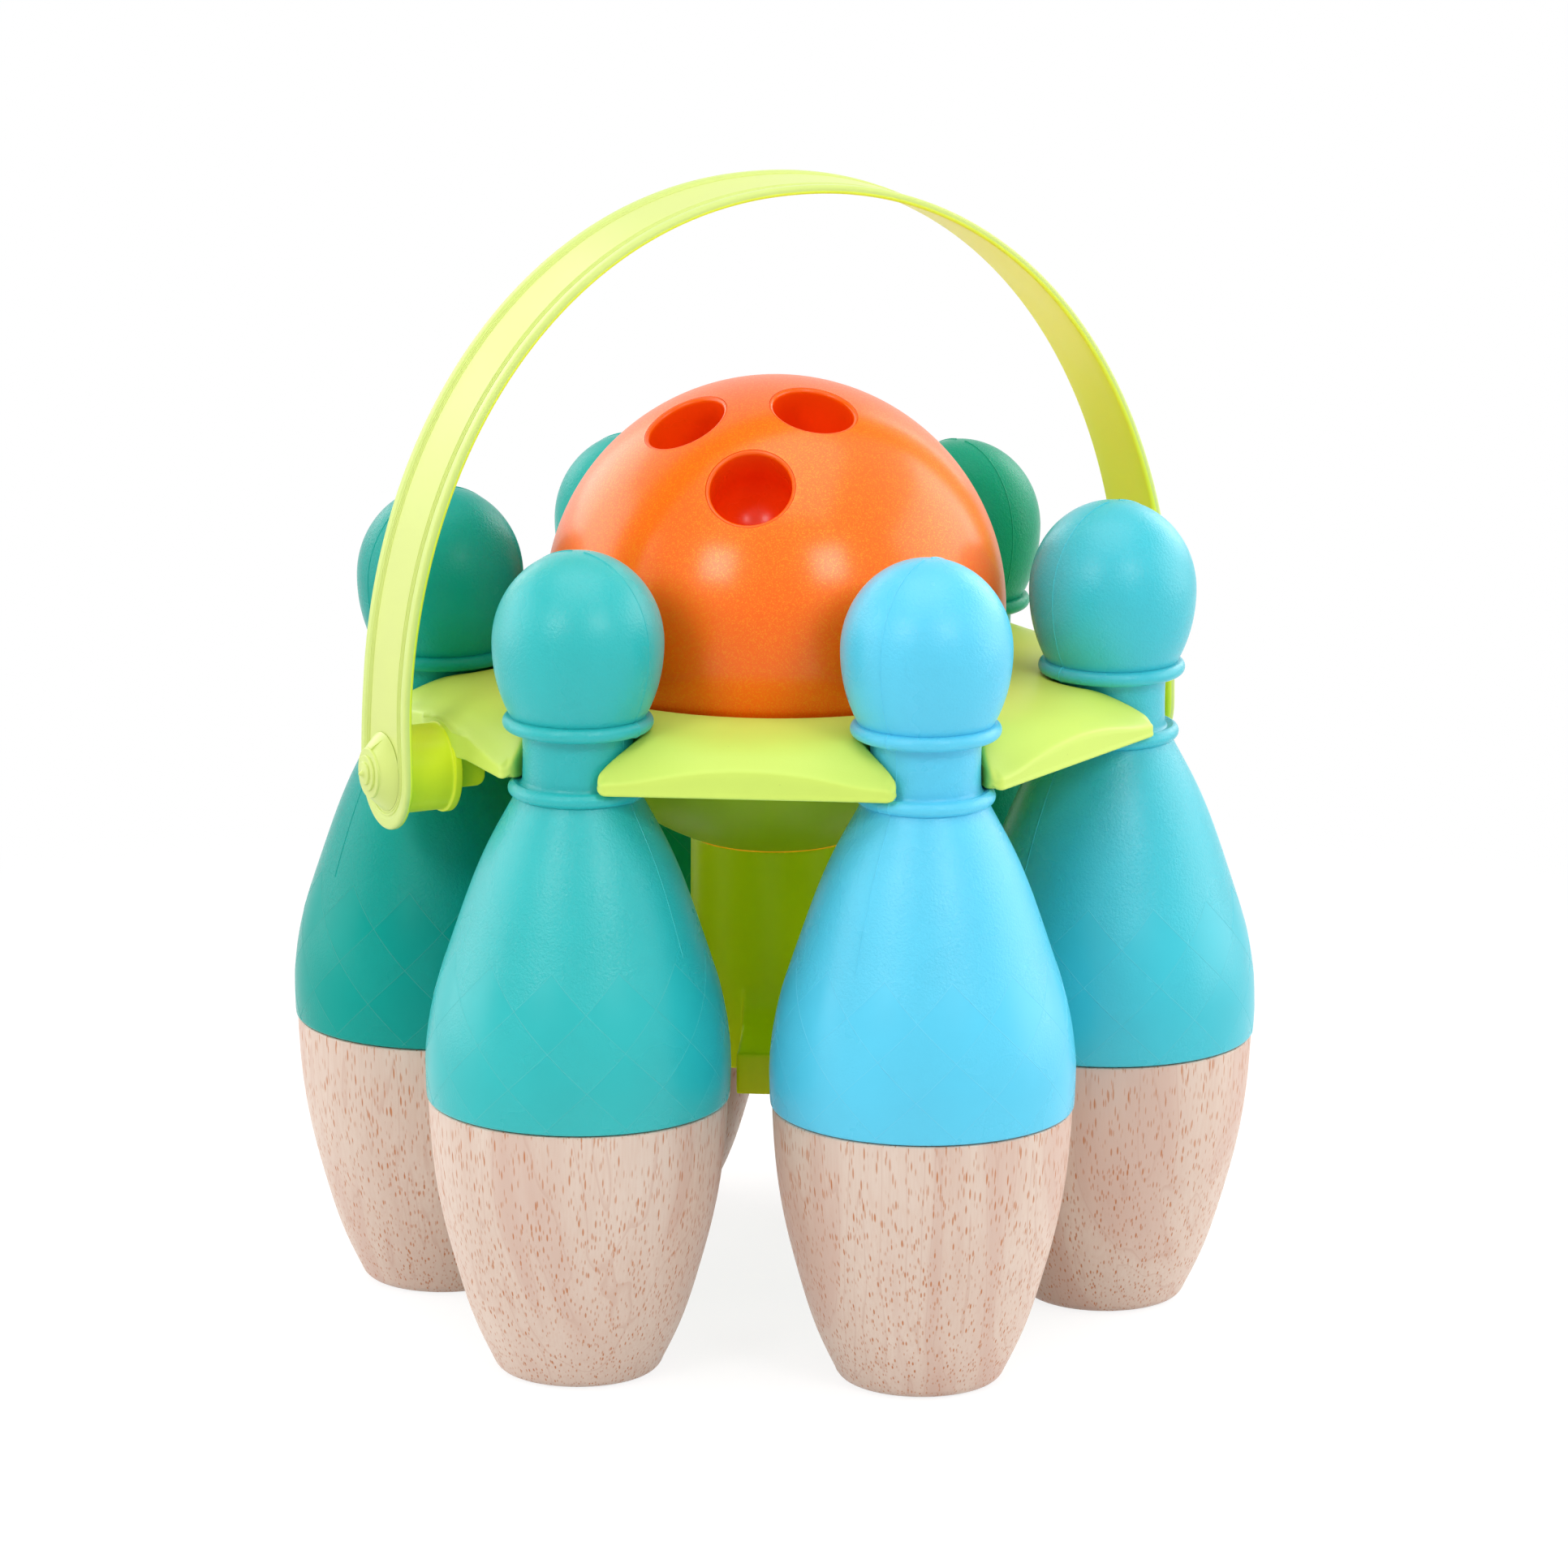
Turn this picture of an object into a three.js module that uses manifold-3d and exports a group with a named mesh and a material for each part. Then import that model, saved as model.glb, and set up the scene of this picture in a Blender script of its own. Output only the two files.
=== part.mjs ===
// Toy bowling set: six pins in a ring, a ball in a bowl-shaped tray, and a strap handle.
// Millimetres, +Z up. The origin is on the floor at the centre of the ring of pins,
// and +X runs along the handle's pivot axis.

import * as THREE from "three";
import { mergeVertices } from "three/addons/utils/BufferGeometryUtils.js";
import Module from "manifold-3d";

const wasm = await Module();
wasm.setup();

// Fits shared by all pieces
const FIT_GAP = 0.3; // between faces that touch
const CUT_OVERRUN = 2; // how far a cut runs past the face that it opens
const MERGE_DISTANCE = 0.0005; // corners closer than this are one corner

// Pin: turned wooden base below, hollow plastic shell above
const PIN_COUNT = 6;
const BELLY_RADIUS = 37.2;
const BELLY_GAP = 9.6; // least gap between neighbouring bellies in the ring
const SPLIT_HEIGHT = 68.9; // where the shell meets the base
const NECK_HEIGHT = 146.2; // centre of the lower neck ring
const NECK_LENGTH = 16.4; // from the lower neck ring to the upper one
const NECK_RADIUS = 13.3;
const LOWER_RING_RADIUS = 17;
const UPPER_RING_RADIUS = 18.3;
const RING_HALF_THICKNESS = 1.6;
const HEAD_RADIUS = 20.85;
const HEAD_LIFT = 19.4; // from the upper neck ring to the head's widest place
const HEAD_RISE = 22.3; // from the head's widest place to the top
const HEAD_TAPER = 29; // lower half-axis of the egg-shaped head
const SHELL_WALL = 2.2;
const WOOD_INSET = 0.5; // how much smaller the wood is than the shell where they meet
const FOOT_RADIUS = 18.2; // flat under the base
const FOOT_ROUND = 3.5;
const TENON_HEIGHT = 8;

// Pin body outline: heights as shares of NECK_HEIGHT, radii as shares of BELLY_RADIUS
const bodyHeightShares = [0, 0.08, 0.17, 0.27, 0.38, 0.51, 0.6, 0.7, 0.8, 0.9, 0.96, 1];
const bodyRadiusShares = [0.54, 0.677, 0.796, 0.898, 0.973, 1, 0.975, 0.882, 0.751, 0.592, 0.473, 0.403];
const ringCrownShare = 0.5; // of the ring's half thickness, the flat of its crown

// Ball: two half shells and three finger cups
const BALL_RADIUS = 57.5;
const BALL_WALL = 2.6;
const HEAD_TO_BALL = 5.65; // least gap from the ball to a pin's head
const FINGER_COUNT = 3;
const FINGER_RADIUS = 10.05;
const FINGER_DEPTH = 22;
const CUP_WALL = 1;
const FINGER_SPREAD_DEGREES = 18.9; // from the ball's axis to each hole's axis
const BALL_TILT_DEGREES = 29;
const BALL_HEADING_DEGREES = -130;
const BALL_SPIN_DEGREES = 13.4;

// Tray: a bowl, and six petals between the slots
const BOWL_CLEARANCE = 1.8; // round the ball
const BALL_LIFT = 15.4; // from the plate's top up to the ball's centre
const TRAY_WALL = 2.4;
const PLATE_GAP = 0.4; // under the upper neck rings
const SLOT_CLEARANCE = 0.3; // round the neck
const PETAL_OVERHANG = 17.25; // how far a petal reaches past the line between two necks
const PETAL_ROLL = 32; // width over which a petal rolls down to its edge
const TIP_RADIUS = 2;
const SLOT_EDGE_ROUND = 5.2; // round of the plate's edge along the slots
const SPIGOT_LENGTH = 9;

// Petal roll: insets as shares of PETAL_ROLL, heights as shares of the tray's depth
const rollInsetShares = [1, 0.7, 0.45, 0.27, 0.145, 0.065, 0.015, 0, 0];
const rollHeightShares = [1, 0.99, 0.955, 0.88, 0.76, 0.6, 0.4, 0.28, 0];

// Column under the bowl, with a foot of six arms between the pins
const COLUMN_RADIUS = 20.9;
const COLUMN_WALL = 2.5;
const COLUMN_CLEARANCE = 61.1; // from the floor up to the foot
const ARM_REACH = 42;
const ARM_WIDTH = 11.8;
const ARM_FACE_HEIGHT = 10.6;
const ARM_ROOT_HEIGHT = 21;
const ARM_WALL = 2.2;
const ARM_ROUND = 2;

// Pivot bracket: drum, flange and lug
const PIVOT_DROP = 4.1; // from the tray's lower edge down to the pivot axis
const DRUM_RADIUS = 10.7;
const DRUM_LENGTH = 12.1;
const FLANGE_RADIUS = 11.4;
const FLANGE_THICKNESS = 1.9;
const FLANGE_SINK = 0.3; // how deep the flange sits in the petal's skirt
const LUG_LENGTH = 7.3;
const LUG_WIDTH = 16;
const LUG_RISE = 7.6; // above the pivot axis
const LUG_DROP = 4; // below the pivot axis
const LUG_ROUND = 2.5;

// Handle: strap and studs
const STRAP_THICKNESS = 2.2;
const STRAP_WIDTH = 26.8;
const STRAP_RISE = 139.5; // from the pivot axis to the top of the strap
const STRAP_STRAIGHT = 9; // straight length of each arm above the pivot axis
const STRAP_END_RADIUS = 14.4;
const CROWN_POWER = 2.09; // a superellipse, where 2 is an ellipse
const POST_RADIUS = 4;
const POST_DEPTH = 17; // from the drum's face inwards
const CONE_RADIUS = 9.7;
const CONE_HEIGHT = 3.3;
const KNOB_RADIUS = 6.2;
const KNOB_HEIGHT = 2;
const NUB_HEIGHT = 1.2;

// Stepped knob: radii as shares of KNOB_RADIUS, heights as shares of KNOB_HEIGHT
const knobRadiusShares = [1, 1, 0.78, 0.74, 0.5, 0.46, 0.2];
const knobHeightShares = [0, 0.3, 0.35, 0.65, 0.7, 0.9, 1];

// Roundness of the facets
const PIN_SEGMENTS = 20;
const BODY_ROWS = 7;
const BASE_ROWS = 4;
const HEAD_ROWS = 6;
const BALL_SEGMENTS = 24;
const BALL_ROWS = 6;
const CUP_SEGMENTS = 14;
const TRAY_SEGMENTS = 30;
const SLOT_STEPS = 8;
const ROUND_STEPS = 3;
const BEVEL_STEPS = 2;
const INNER_ROWS = 2;
const SMALL_SEGMENTS = 16;
const STRAP_STEPS = 36;

// Places worked out from the sizes above
const FULL_TURN = 2 * Math.PI;
const PITCH = FULL_TURN / PIN_COUNT;
const FIRST_PIN_ANGLE = -Math.PI / 2;
const RING_RADIUS = Math.max(
  (BELLY_RADIUS + BELLY_GAP / 2) / Math.sin(PITCH / 2),
  BALL_RADIUS + HEAD_TO_BALL + HEAD_RADIUS,
);
const UPPER_RING_HEIGHT = NECK_HEIGHT + NECK_LENGTH;
const HEAD_HEIGHT = UPPER_RING_HEIGHT + HEAD_LIFT;
const TRAY_BOTTOM = NECK_HEIGHT + RING_HALF_THICKNESS + FIT_GAP;
const PLATE_TOP = UPPER_RING_HEIGHT - RING_HALF_THICKNESS - PLATE_GAP;
const PETAL_REACH = RING_RADIUS * Math.cos(PITCH / 2) + PETAL_OVERHANG;
const SLOT_RADIUS = NECK_RADIUS + SLOT_CLEARANCE;
const BOWL_BORE = BALL_RADIUS + BOWL_CLEARANCE;
const BOWL_RADIUS = BOWL_BORE + TRAY_WALL; // about the ball's centre
const BALL_HEIGHT = PLATE_TOP + BALL_LIFT;
const COLUMN_BORE = COLUMN_RADIUS - COLUMN_WALL;
const PIVOT_HEIGHT = TRAY_BOTTOM - PIVOT_DROP;
const FLANGE_BACK = PETAL_REACH - FLANGE_SINK;
const DRUM_BACK = FLANGE_BACK + FLANGE_THICKNESS;
const DRUM_FACE = DRUM_BACK + DRUM_LENGTH;
const STRAP_BACK = DRUM_FACE + FIT_GAP;
const STRAP_FACE = STRAP_BACK + STRAP_THICKNESS;

const pinTints = [0x63c8f7, 0x35bfc9, 0x0d9577, 0x0f9a86, 0x0a8f74, 0x46bdb0];

function makeMaterial(color, roughness, metalness) {
  return new THREE.MeshStandardMaterial({ color, roughness, metalness });
}

const lime = makeMaterial(0xc3dc33, 0.45, 0);
const paleLime = makeMaterial(0xe2f07a, 0.4, 0);
const pearlOrange = makeMaterial(0xff6a13, 0.35, 0.2);
const cupOrange = makeMaterial(0xe83a05, 0.45, 0);
const wood = makeMaterial(0xdcbfa0, 0.6, 0);

// Leaves out the triangles that a lathe folds flat on its axis
function dropFlatTriangles(index) {
  const kept = [];
  for (let i = 0; i < index.length; i += 3) {
    const [a, b, c] = [index[i], index[i + 1], index[i + 2]];
    if (a !== b && b !== c && c !== a) kept.push(a, b, c);
  }
  return Uint32Array.from(kept);
}

// Turns a closed geometry into a solid with its faces pointing out
function toSolid(geometry) {
  geometry.deleteAttribute("normal");
  geometry.deleteAttribute("uv");
  const merged = mergeVertices(geometry, MERGE_DISTANCE);
  const vertProperties = Float32Array.from(merged.attributes.position.array);
  const triVerts = dropFlatTriangles(merged.index.array);
  const solid = new wasm.Manifold(new wasm.Mesh({ numProp: 3, vertProperties, triVerts }));
  if (solid.volume() > 0) return solid;
  triVerts.reverse();
  return new wasm.Manifold(new wasm.Mesh({ numProp: 3, vertProperties, triVerts }));
}

function toGeometry(solid) {
  const mesh = solid.getMesh();
  const places = new Float32Array(mesh.numVert * 3);
  for (let v = 0; v < mesh.numVert; v += 1) {
    for (let k = 0; k < 3; k += 1) places[v * 3 + k] = mesh.vertProperties[v * mesh.numProp + k];
  }
  const geometry = new THREE.BufferGeometry();
  geometry.setAttribute("position", new THREE.BufferAttribute(places, 3));
  geometry.setIndex(new THREE.BufferAttribute(Uint32Array.from(mesh.triVerts), 1));
  geometry.computeVertexNormals();
  return geometry;
}

function makeNode(name, geometry, material) {
  const node = new THREE.Mesh(geometry, material);
  node.name = name;
  return node;
}

// Turned solid about +Z from [radius, height] points
function turned(points, segments) {
  const outline = points.map(([radius, height]) => new THREE.Vector2(radius, height));
  const geometry = new THREE.LatheGeometry(outline, segments);
  geometry.rotateX(Math.PI / 2);
  return toSolid(geometry);
}

// Turned solid about +X from [radius, place along X] points
function turnedAboutX(points, segments) {
  return turned(points, segments).rotate([0, 90, 0]);
}

// Plain disc or rod about +X
function rodAboutX(radius, from, to) {
  return turnedAboutX([[0, from], [radius, from], [radius, to], [0, to]], SMALL_SEGMENTS);
}

// Prism of a flat outline, from one height to another
function prism(shape, bottom, top) {
  const options = { depth: top - bottom, bevelEnabled: false, curveSegments: ROUND_STEPS };
  const geometry = new THREE.ExtrudeGeometry(shape, options);
  geometry.translate(0, 0, bottom);
  return toSolid(geometry);
}

// The same with the edges of both its ends rounded
function roundedPrism(shape, bottom, top, round, steps) {
  const geometry = new THREE.ExtrudeGeometry(shape, {
    depth: top - bottom - 2 * round,
    bevelThickness: round,
    bevelSize: round,
    bevelOffset: -round,
    bevelSegments: steps,
    curveSegments: ROUND_STEPS,
  });
  geometry.translate(0, 0, bottom + round);
  return toSolid(geometry);
}

// Prism of an outline in X and Z, centred on Y = 0
function crossPrism(shape, width) {
  return prism(shape, -width / 2, width / 2).rotate([90, 0, 0]);
}

// Points along an arc or half-egg about [0, height]
function eggPoints(height, radius, halfAxis, from, to, steps) {
  const points = [];
  for (let i = 0; i <= steps; i += 1) {
    const angle = from + ((to - from) * i) / steps;
    points.push([radius * Math.cos(angle), height + halfAxis * Math.sin(angle)]);
  }
  return points;
}

// A copy of a solid for each pin's place or each petal's place in the ring
function ringOf(solid, firstAngle) {
  const copies = [];
  for (let k = 0; k < PIN_COUNT; k += 1) {
    copies.push(solid.rotate([0, 0, THREE.MathUtils.radToDeg(firstAngle + k * PITCH)]));
  }
  return wasm.Manifold.union(copies);
}

const bodyCurve = new THREE.CubicInterpolant(bodyHeightShares, bodyRadiusShares, 1);

function bodyRadius(height) {
  return BELLY_RADIUS * bodyCurve.evaluate(height / NECK_HEIGHT)[0];
}

// Body outline between two heights, moved inwards
function bodyPoints(from, to, rows, inset) {
  const points = [];
  for (let i = 0; i <= rows; i += 1) {
    const height = from + ((to - from) * i) / rows;
    points.push([bodyRadius(height) - inset, height]);
  }
  return points;
}

function ringPoints(height, ringRadius) {
  const crown = RING_HALF_THICKNESS * ringCrownShare;
  return [[ringRadius, height - crown], [ringRadius, height + crown]];
}

function makePinShell() {
  const right = Math.PI / 2;
  const headStart = -Math.asin((HEAD_LIFT - RING_HALF_THICKNESS) / HEAD_TAPER);
  const innerHead = HEAD_RADIUS - SHELL_WALL;
  const neckBore = NECK_RADIUS - SHELL_WALL;
  const bore = bodyRadius(SPLIT_HEIGHT) - SHELL_WALL;
  const tenonTop = SPLIT_HEIGHT + TENON_HEIGHT + FIT_GAP;
  const outside = [
    ...bodyPoints(SPLIT_HEIGHT, NECK_HEIGHT - RING_HALF_THICKNESS, BODY_ROWS, 0),
    ...ringPoints(NECK_HEIGHT, LOWER_RING_RADIUS),
    [NECK_RADIUS, NECK_HEIGHT + RING_HALF_THICKNESS],
    [NECK_RADIUS, UPPER_RING_HEIGHT - RING_HALF_THICKNESS],
    ...ringPoints(UPPER_RING_HEIGHT, UPPER_RING_RADIUS),
    ...eggPoints(HEAD_HEIGHT, HEAD_RADIUS, HEAD_TAPER, headStart, 0, ROUND_STEPS),
    ...eggPoints(HEAD_HEIGHT, HEAD_RADIUS, HEAD_RISE, 0, right, HEAD_ROWS).slice(1),
  ];
  const inside = [
    ...eggPoints(HEAD_HEIGHT, innerHead, HEAD_RISE - SHELL_WALL, right, 0, ROUND_STEPS),
    [neckBore, UPPER_RING_HEIGHT],
    [neckBore, NECK_HEIGHT],
    ...bodyPoints(NECK_HEIGHT - NECK_LENGTH, tenonTop, INNER_ROWS, SHELL_WALL),
    [bore, tenonTop],
    [bore, SPLIT_HEIGHT],
  ];
  return toGeometry(turned([...outside, ...inside, outside[0]], PIN_SEGMENTS));
}

function makePinBase() {
  const top = SPLIT_HEIGHT - FIT_GAP;
  const tenon = bodyRadius(SPLIT_HEIGHT) - SHELL_WALL - FIT_GAP;
  const footEdge = bodyRadius(FOOT_ROUND) - FOOT_RADIUS;
  const foot = eggPoints(FOOT_ROUND, footEdge, FOOT_ROUND, -Math.PI / 2, 0, ROUND_STEPS);
  const side = bodyPoints(FOOT_ROUND, top, BASE_ROWS, 0).slice(1);
  const outline = [
    [0, 0],
    ...foot.map(([radius, height]) => [FOOT_RADIUS + radius, height]),
    ...side.map(([radius, height]) => [radius - (WOOD_INSET * height) / top, height]),
    [tenon, top],
    [tenon, SPLIT_HEIGHT + TENON_HEIGHT],
    [0, SPLIT_HEIGHT + TENON_HEIGHT],
  ];
  return toGeometry(turned(outline, PIN_SEGMENTS));
}

function makePins() {
  const pins = new THREE.Group();
  const shell = makePinShell();
  const base = makePinBase();
  for (let k = 0; k < PIN_COUNT; k += 1) {
    const angle = FIRST_PIN_ANGLE + k * PITCH;
    const tint = makeMaterial(pinTints[k % pinTints.length], 0.5, 0);
    const pin = new THREE.Group();
    pin.position.set(RING_RADIUS * Math.cos(angle), RING_RADIUS * Math.sin(angle), 0);
    pin.add(makeNode(`pin_shell_${k + 1}`, shell, tint));
    pin.add(makeNode(`pin_base_${k + 1}`, base, wood));
    pins.add(pin);
  }
  return pins;
}

// Half of the ball's skin from just above its equator to its pole
function makeHalfShell() {
  const pole = Math.PI / 2;
  const rim = FIT_GAP / 2 / BALL_RADIUS;
  const inner = BALL_RADIUS - BALL_WALL;
  const outside = eggPoints(0, BALL_RADIUS, BALL_RADIUS, rim, pole, BALL_ROWS);
  const inside = eggPoints(0, inner, inner, pole, rim, BALL_ROWS);
  return turned([...outside, ...inside, outside[0]], BALL_SEGMENTS);
}

function makeBallBody() {
  const pole = Math.PI / 2;
  return turned(eggPoints(0, BALL_RADIUS, BALL_RADIUS, -pole, pole, 2 * BALL_ROWS), BALL_SEGMENTS);
}

// Aims a solid that stands on the ball's axis along one of the finger holes
function aimFinger(solid, k) {
  const turn = BALL_SPIN_DEGREES + (360 / FINGER_COUNT) * k;
  return solid.rotate([0, FINGER_SPREAD_DEGREES, 0]).rotate([0, 0, turn]);
}

function makeFingerHole() {
  const radius = FINGER_RADIUS + CUP_WALL + FIT_GAP;
  const bottom = BALL_RADIUS - FINGER_DEPTH;
  const top = BALL_RADIUS + CUT_OVERRUN;
  return turned([[0, bottom], [radius, bottom], [radius, top], [0, top]], CUP_SEGMENTS);
}

function makeFingerCup() {
  const outer = FINGER_RADIUS + CUP_WALL;
  const centre = BALL_RADIUS - FINGER_DEPTH + FINGER_RADIUS;
  const top = BALL_RADIUS + CUT_OVERRUN;
  const outline = [
    ...eggPoints(centre, outer, outer, -Math.PI / 2, 0, ROUND_STEPS),
    [outer, top],
    [FINGER_RADIUS, top],
    ...eggPoints(centre, FINGER_RADIUS, FINGER_RADIUS, 0, -Math.PI / 2, ROUND_STEPS),
  ];
  return turned(outline, CUP_SEGMENTS);
}

function makeBall() {
  const ball = new THREE.Group();
  ball.position.set(0, 0, BALL_HEIGHT);
  ball.rotation.order = "ZYX";
  const tilt = THREE.MathUtils.degToRad(BALL_TILT_DEGREES);
  ball.rotation.set(0, tilt, THREE.MathUtils.degToRad(BALL_HEADING_DEGREES));
  const half = makeHalfShell();
  const body = makeBallBody();
  const hole = makeFingerHole();
  const cup = makeFingerCup();
  let upper = half;
  for (let k = 0; k < FINGER_COUNT; k += 1) {
    upper = upper.subtract(aimFinger(hole, k));
    const seated = aimFinger(cup, k).intersect(body);
    ball.add(makeNode(`finger_cup_${k + 1}`, toGeometry(seated), cupOrange));
  }
  ball.add(makeNode("ball_upper_shell", toGeometry(upper), pearlOrange));
  ball.add(makeNode("ball_lower_shell", toGeometry(half.rotate([180, 0, 0])), pearlOrange));
  return ball;
}

// Six-sided plate that rolls down to a skirt, drawn in all round by an inset
function makePetalDome(inset) {
  const depth = PLATE_TOP - TRAY_BOTTOM;
  const corner = 1 / Math.cos(PITCH / 2);
  const roll = rollInsetShares.map((share, i) => [
    (PETAL_REACH - inset - share * PETAL_ROLL) * corner,
    TRAY_BOTTOM + depth * rollHeightShares[i] - inset,
  ]);
  return turned([[0, PLATE_TOP - inset], ...roll, [0, TRAY_BOTTOM - inset]], PIN_COUNT);
}

// Points of one side of a slot's mouth, round the petal's tip
function tipPoints(radius, side) {
  const slope = PITCH / 2;
  const across = radius + TIP_RADIUS;
  const out = (PETAL_OVERHANG - TIP_RADIUS - across * Math.sin(slope)) / Math.cos(slope);
  const points = eggPoints(across, TIP_RADIUS, TIP_RADIUS, -Math.PI / 2, slope, ROUND_STEPS);
  const [lastOut, lastAcross] = points[points.length - 1];
  const farOut = lastOut + PETAL_OVERHANG * Math.cos(slope);
  points.push([farOut, lastAcross + PETAL_OVERHANG * Math.sin(slope)]);
  return points.map(([x, y]) => new THREE.Vector2(RING_RADIUS + out + x, side * y));
}

// Slot that runs in from the rim to the far side of a pin's neck, with round petal tips
function makeSlots() {
  const back = eggPoints(0, SLOT_RADIUS, SLOT_RADIUS, 1.5 * Math.PI, 0.5 * Math.PI, SLOT_STEPS);
  const shape = new THREE.Shape([
    ...tipPoints(SLOT_RADIUS, -1).reverse(),
    ...back.map(([x, y]) => new THREE.Vector2(RING_RADIUS + x, y)),
    ...tipPoints(SLOT_RADIUS, 1),
  ]);
  const slot = prism(shape, TRAY_BOTTOM - CUT_OVERRUN, PLATE_TOP + CUT_OVERRUN);
  return ringOf(slot, FIRST_PIN_ANGLE);
}

// Plain slot outline, open past the rim, for a slot of a given half-width
function slotPoints(radius) {
  const far = RING_RADIUS + PETAL_OVERHANG;
  const back = eggPoints(0, radius, radius, 1.5 * Math.PI, 0.5 * Math.PI, SLOT_STEPS);
  return [
    new THREE.Vector2(far, -radius),
    ...back.map(([x, y]) => new THREE.Vector2(RING_RADIUS + x, y)),
    new THREE.Vector2(far, radius),
  ];
}

// Space that the walls round the slots fill
function makeSlotWalls() {
  const shape = new THREE.Shape(slotPoints(SLOT_RADIUS + TRAY_WALL));
  return ringOf(prism(shape, TRAY_BOTTOM - CUT_OVERRUN, PLATE_TOP), FIRST_PIN_ANGLE);
}

// Star between the slots, past the rim, with its upper edge rounded
function makePetalStar() {
  const centre = new THREE.Vector2();
  const points = [];
  for (let k = 0; k < PIN_COUNT; k += 1) {
    const turn = FIRST_PIN_ANGLE + k * PITCH;
    points.push(...slotPoints(SLOT_RADIUS).map((point) => point.rotateAround(centre, turn)));
  }
  const bottom = TRAY_BOTTOM - SLOT_EDGE_ROUND - CUT_OVERRUN;
  return roundedPrism(new THREE.Shape(points), bottom, PLATE_TOP, SLOT_EDGE_ROUND, ROUND_STEPS);
}

// Height of the bowl's outside at a distance from its axis
function bowlUnderside(radius) {
  return BALL_HEIGHT - Math.sqrt(BOWL_RADIUS ** 2 - radius ** 2);
}

// Outside of the bowl, with the spigot that plugs into the column
function makeBowlOutside() {
  const spigot = COLUMN_BORE - FIT_GAP;
  const spigotBore = spigot - COLUMN_WALL;
  const bottom = bowlUnderside(spigot) - SPIGOT_LENGTH;
  const top = PLATE_TOP - TRAY_WALL / 2;
  const from = -Math.acos(spigot / BOWL_RADIUS);
  const to = Math.asin((top - BALL_HEIGHT) / BOWL_RADIUS);
  const outline = [
    [0, bowlUnderside(0)],
    [spigotBore, bowlUnderside(0)],
    [spigotBore, bottom],
    [spigot, bottom],
    ...eggPoints(BALL_HEIGHT, BOWL_RADIUS, BOWL_RADIUS, from, to, BALL_ROWS),
    [0, top],
  ];
  return turned(outline, TRAY_SEGMENTS);
}

function makeBowlHollow() {
  const centre = BALL_HEIGHT + BOWL_CLEARANCE - FIT_GAP;
  const top = PLATE_TOP + CUT_OVERRUN;
  const to = Math.asin((top - centre) / BOWL_BORE);
  const wall = eggPoints(centre, BOWL_BORE, BOWL_BORE, -Math.PI / 2, to, BALL_ROWS);
  return turned([...wall, [0, top]], TRAY_SEGMENTS);
}

function makeTray() {
  const hollow = makePetalDome(TRAY_WALL).subtract(makeSlotWalls());
  const room = makeBracketRoom();
  const tray = makePetalDome(0)
    .intersect(makePetalStar())
    .subtract(hollow)
    .subtract(makeSlots())
    .add(makeBowlOutside())
    .subtract(makeBowlHollow())
    .subtract(room)
    .subtract(room.rotate([0, 0, 180]));
  return makeNode("tray", toGeometry(tray), lime);
}

// Outline of one arm of the foot, from the column's axis out, drawn in by an inset
function armShape(bottom, inset) {
  const root = COLUMN_RADIUS - inset;
  const face = COLUMN_CLEARANCE + ARM_FACE_HEIGHT - inset;
  const top = COLUMN_CLEARANCE + ARM_ROOT_HEIGHT - inset;
  const shape = new THREE.Shape();
  shape.moveTo(0, bottom);
  shape.lineTo(ARM_REACH - inset, bottom);
  shape.lineTo(ARM_REACH - inset, face);
  shape.quadraticCurveTo(root, face, root, top);
  shape.lineTo(0, top);
  return shape;
}

function makeColumn() {
  const tube = turned(
    [
      [0, COLUMN_CLEARANCE],
      [COLUMN_RADIUS, COLUMN_CLEARANCE],
      [COLUMN_RADIUS, bowlUnderside(COLUMN_RADIUS) - FIT_GAP],
      [COLUMN_BORE, bowlUnderside(COLUMN_BORE) - FIT_GAP],
      [0, bowlUnderside(COLUMN_BORE) - FIT_GAP],
    ],
    TRAY_SEGMENTS,
  );
  const below = COLUMN_CLEARANCE - CUT_OVERRUN;
  const bore = turned(
    [[0, below], [COLUMN_BORE, below], [COLUMN_BORE, PLATE_TOP], [0, PLATE_TOP]],
    TRAY_SEGMENTS,
  );
  const side = ARM_WIDTH / 2;
  const arm = roundedPrism(armShape(COLUMN_CLEARANCE, 0), -side, side, ARM_ROUND, BEVEL_STEPS);
  const armHollow = crossPrism(armShape(below, ARM_WALL), ARM_WIDTH - 2 * ARM_WALL);
  const column = tube.add(ringOf(arm.rotate([90, 0, 0]), 0)).subtract(bore).subtract(ringOf(armHollow, 0));
  return makeNode("column", toGeometry(column), lime);
}

// Lug behind the flange, grown all round by a margin
function makeLug(margin) {
  const inner = FLANGE_BACK - LUG_LENGTH - margin;
  const outer = DRUM_BACK - FLANGE_THICKNESS / 2;
  const low = PIVOT_HEIGHT - LUG_DROP - margin;
  const high = PIVOT_HEIGHT + LUG_RISE + margin;
  const shape = new THREE.Shape();
  shape.moveTo(outer, low);
  shape.lineTo(inner + LUG_ROUND, low);
  shape.quadraticCurveTo(inner, low, inner, low + LUG_ROUND);
  shape.lineTo(inner, high);
  shape.lineTo(outer, high);
  return crossPrism(shape, LUG_WIDTH + 2 * margin);
}

// What a petal leaves free for the bracket
function makeBracketRoom() {
  const flange = rodAboutX(FLANGE_RADIUS + FIT_GAP, FLANGE_BACK - FIT_GAP, DRUM_FACE);
  return flange.translate([0, 0, PIVOT_HEIGHT]).add(makeLug(FIT_GAP));
}

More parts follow.
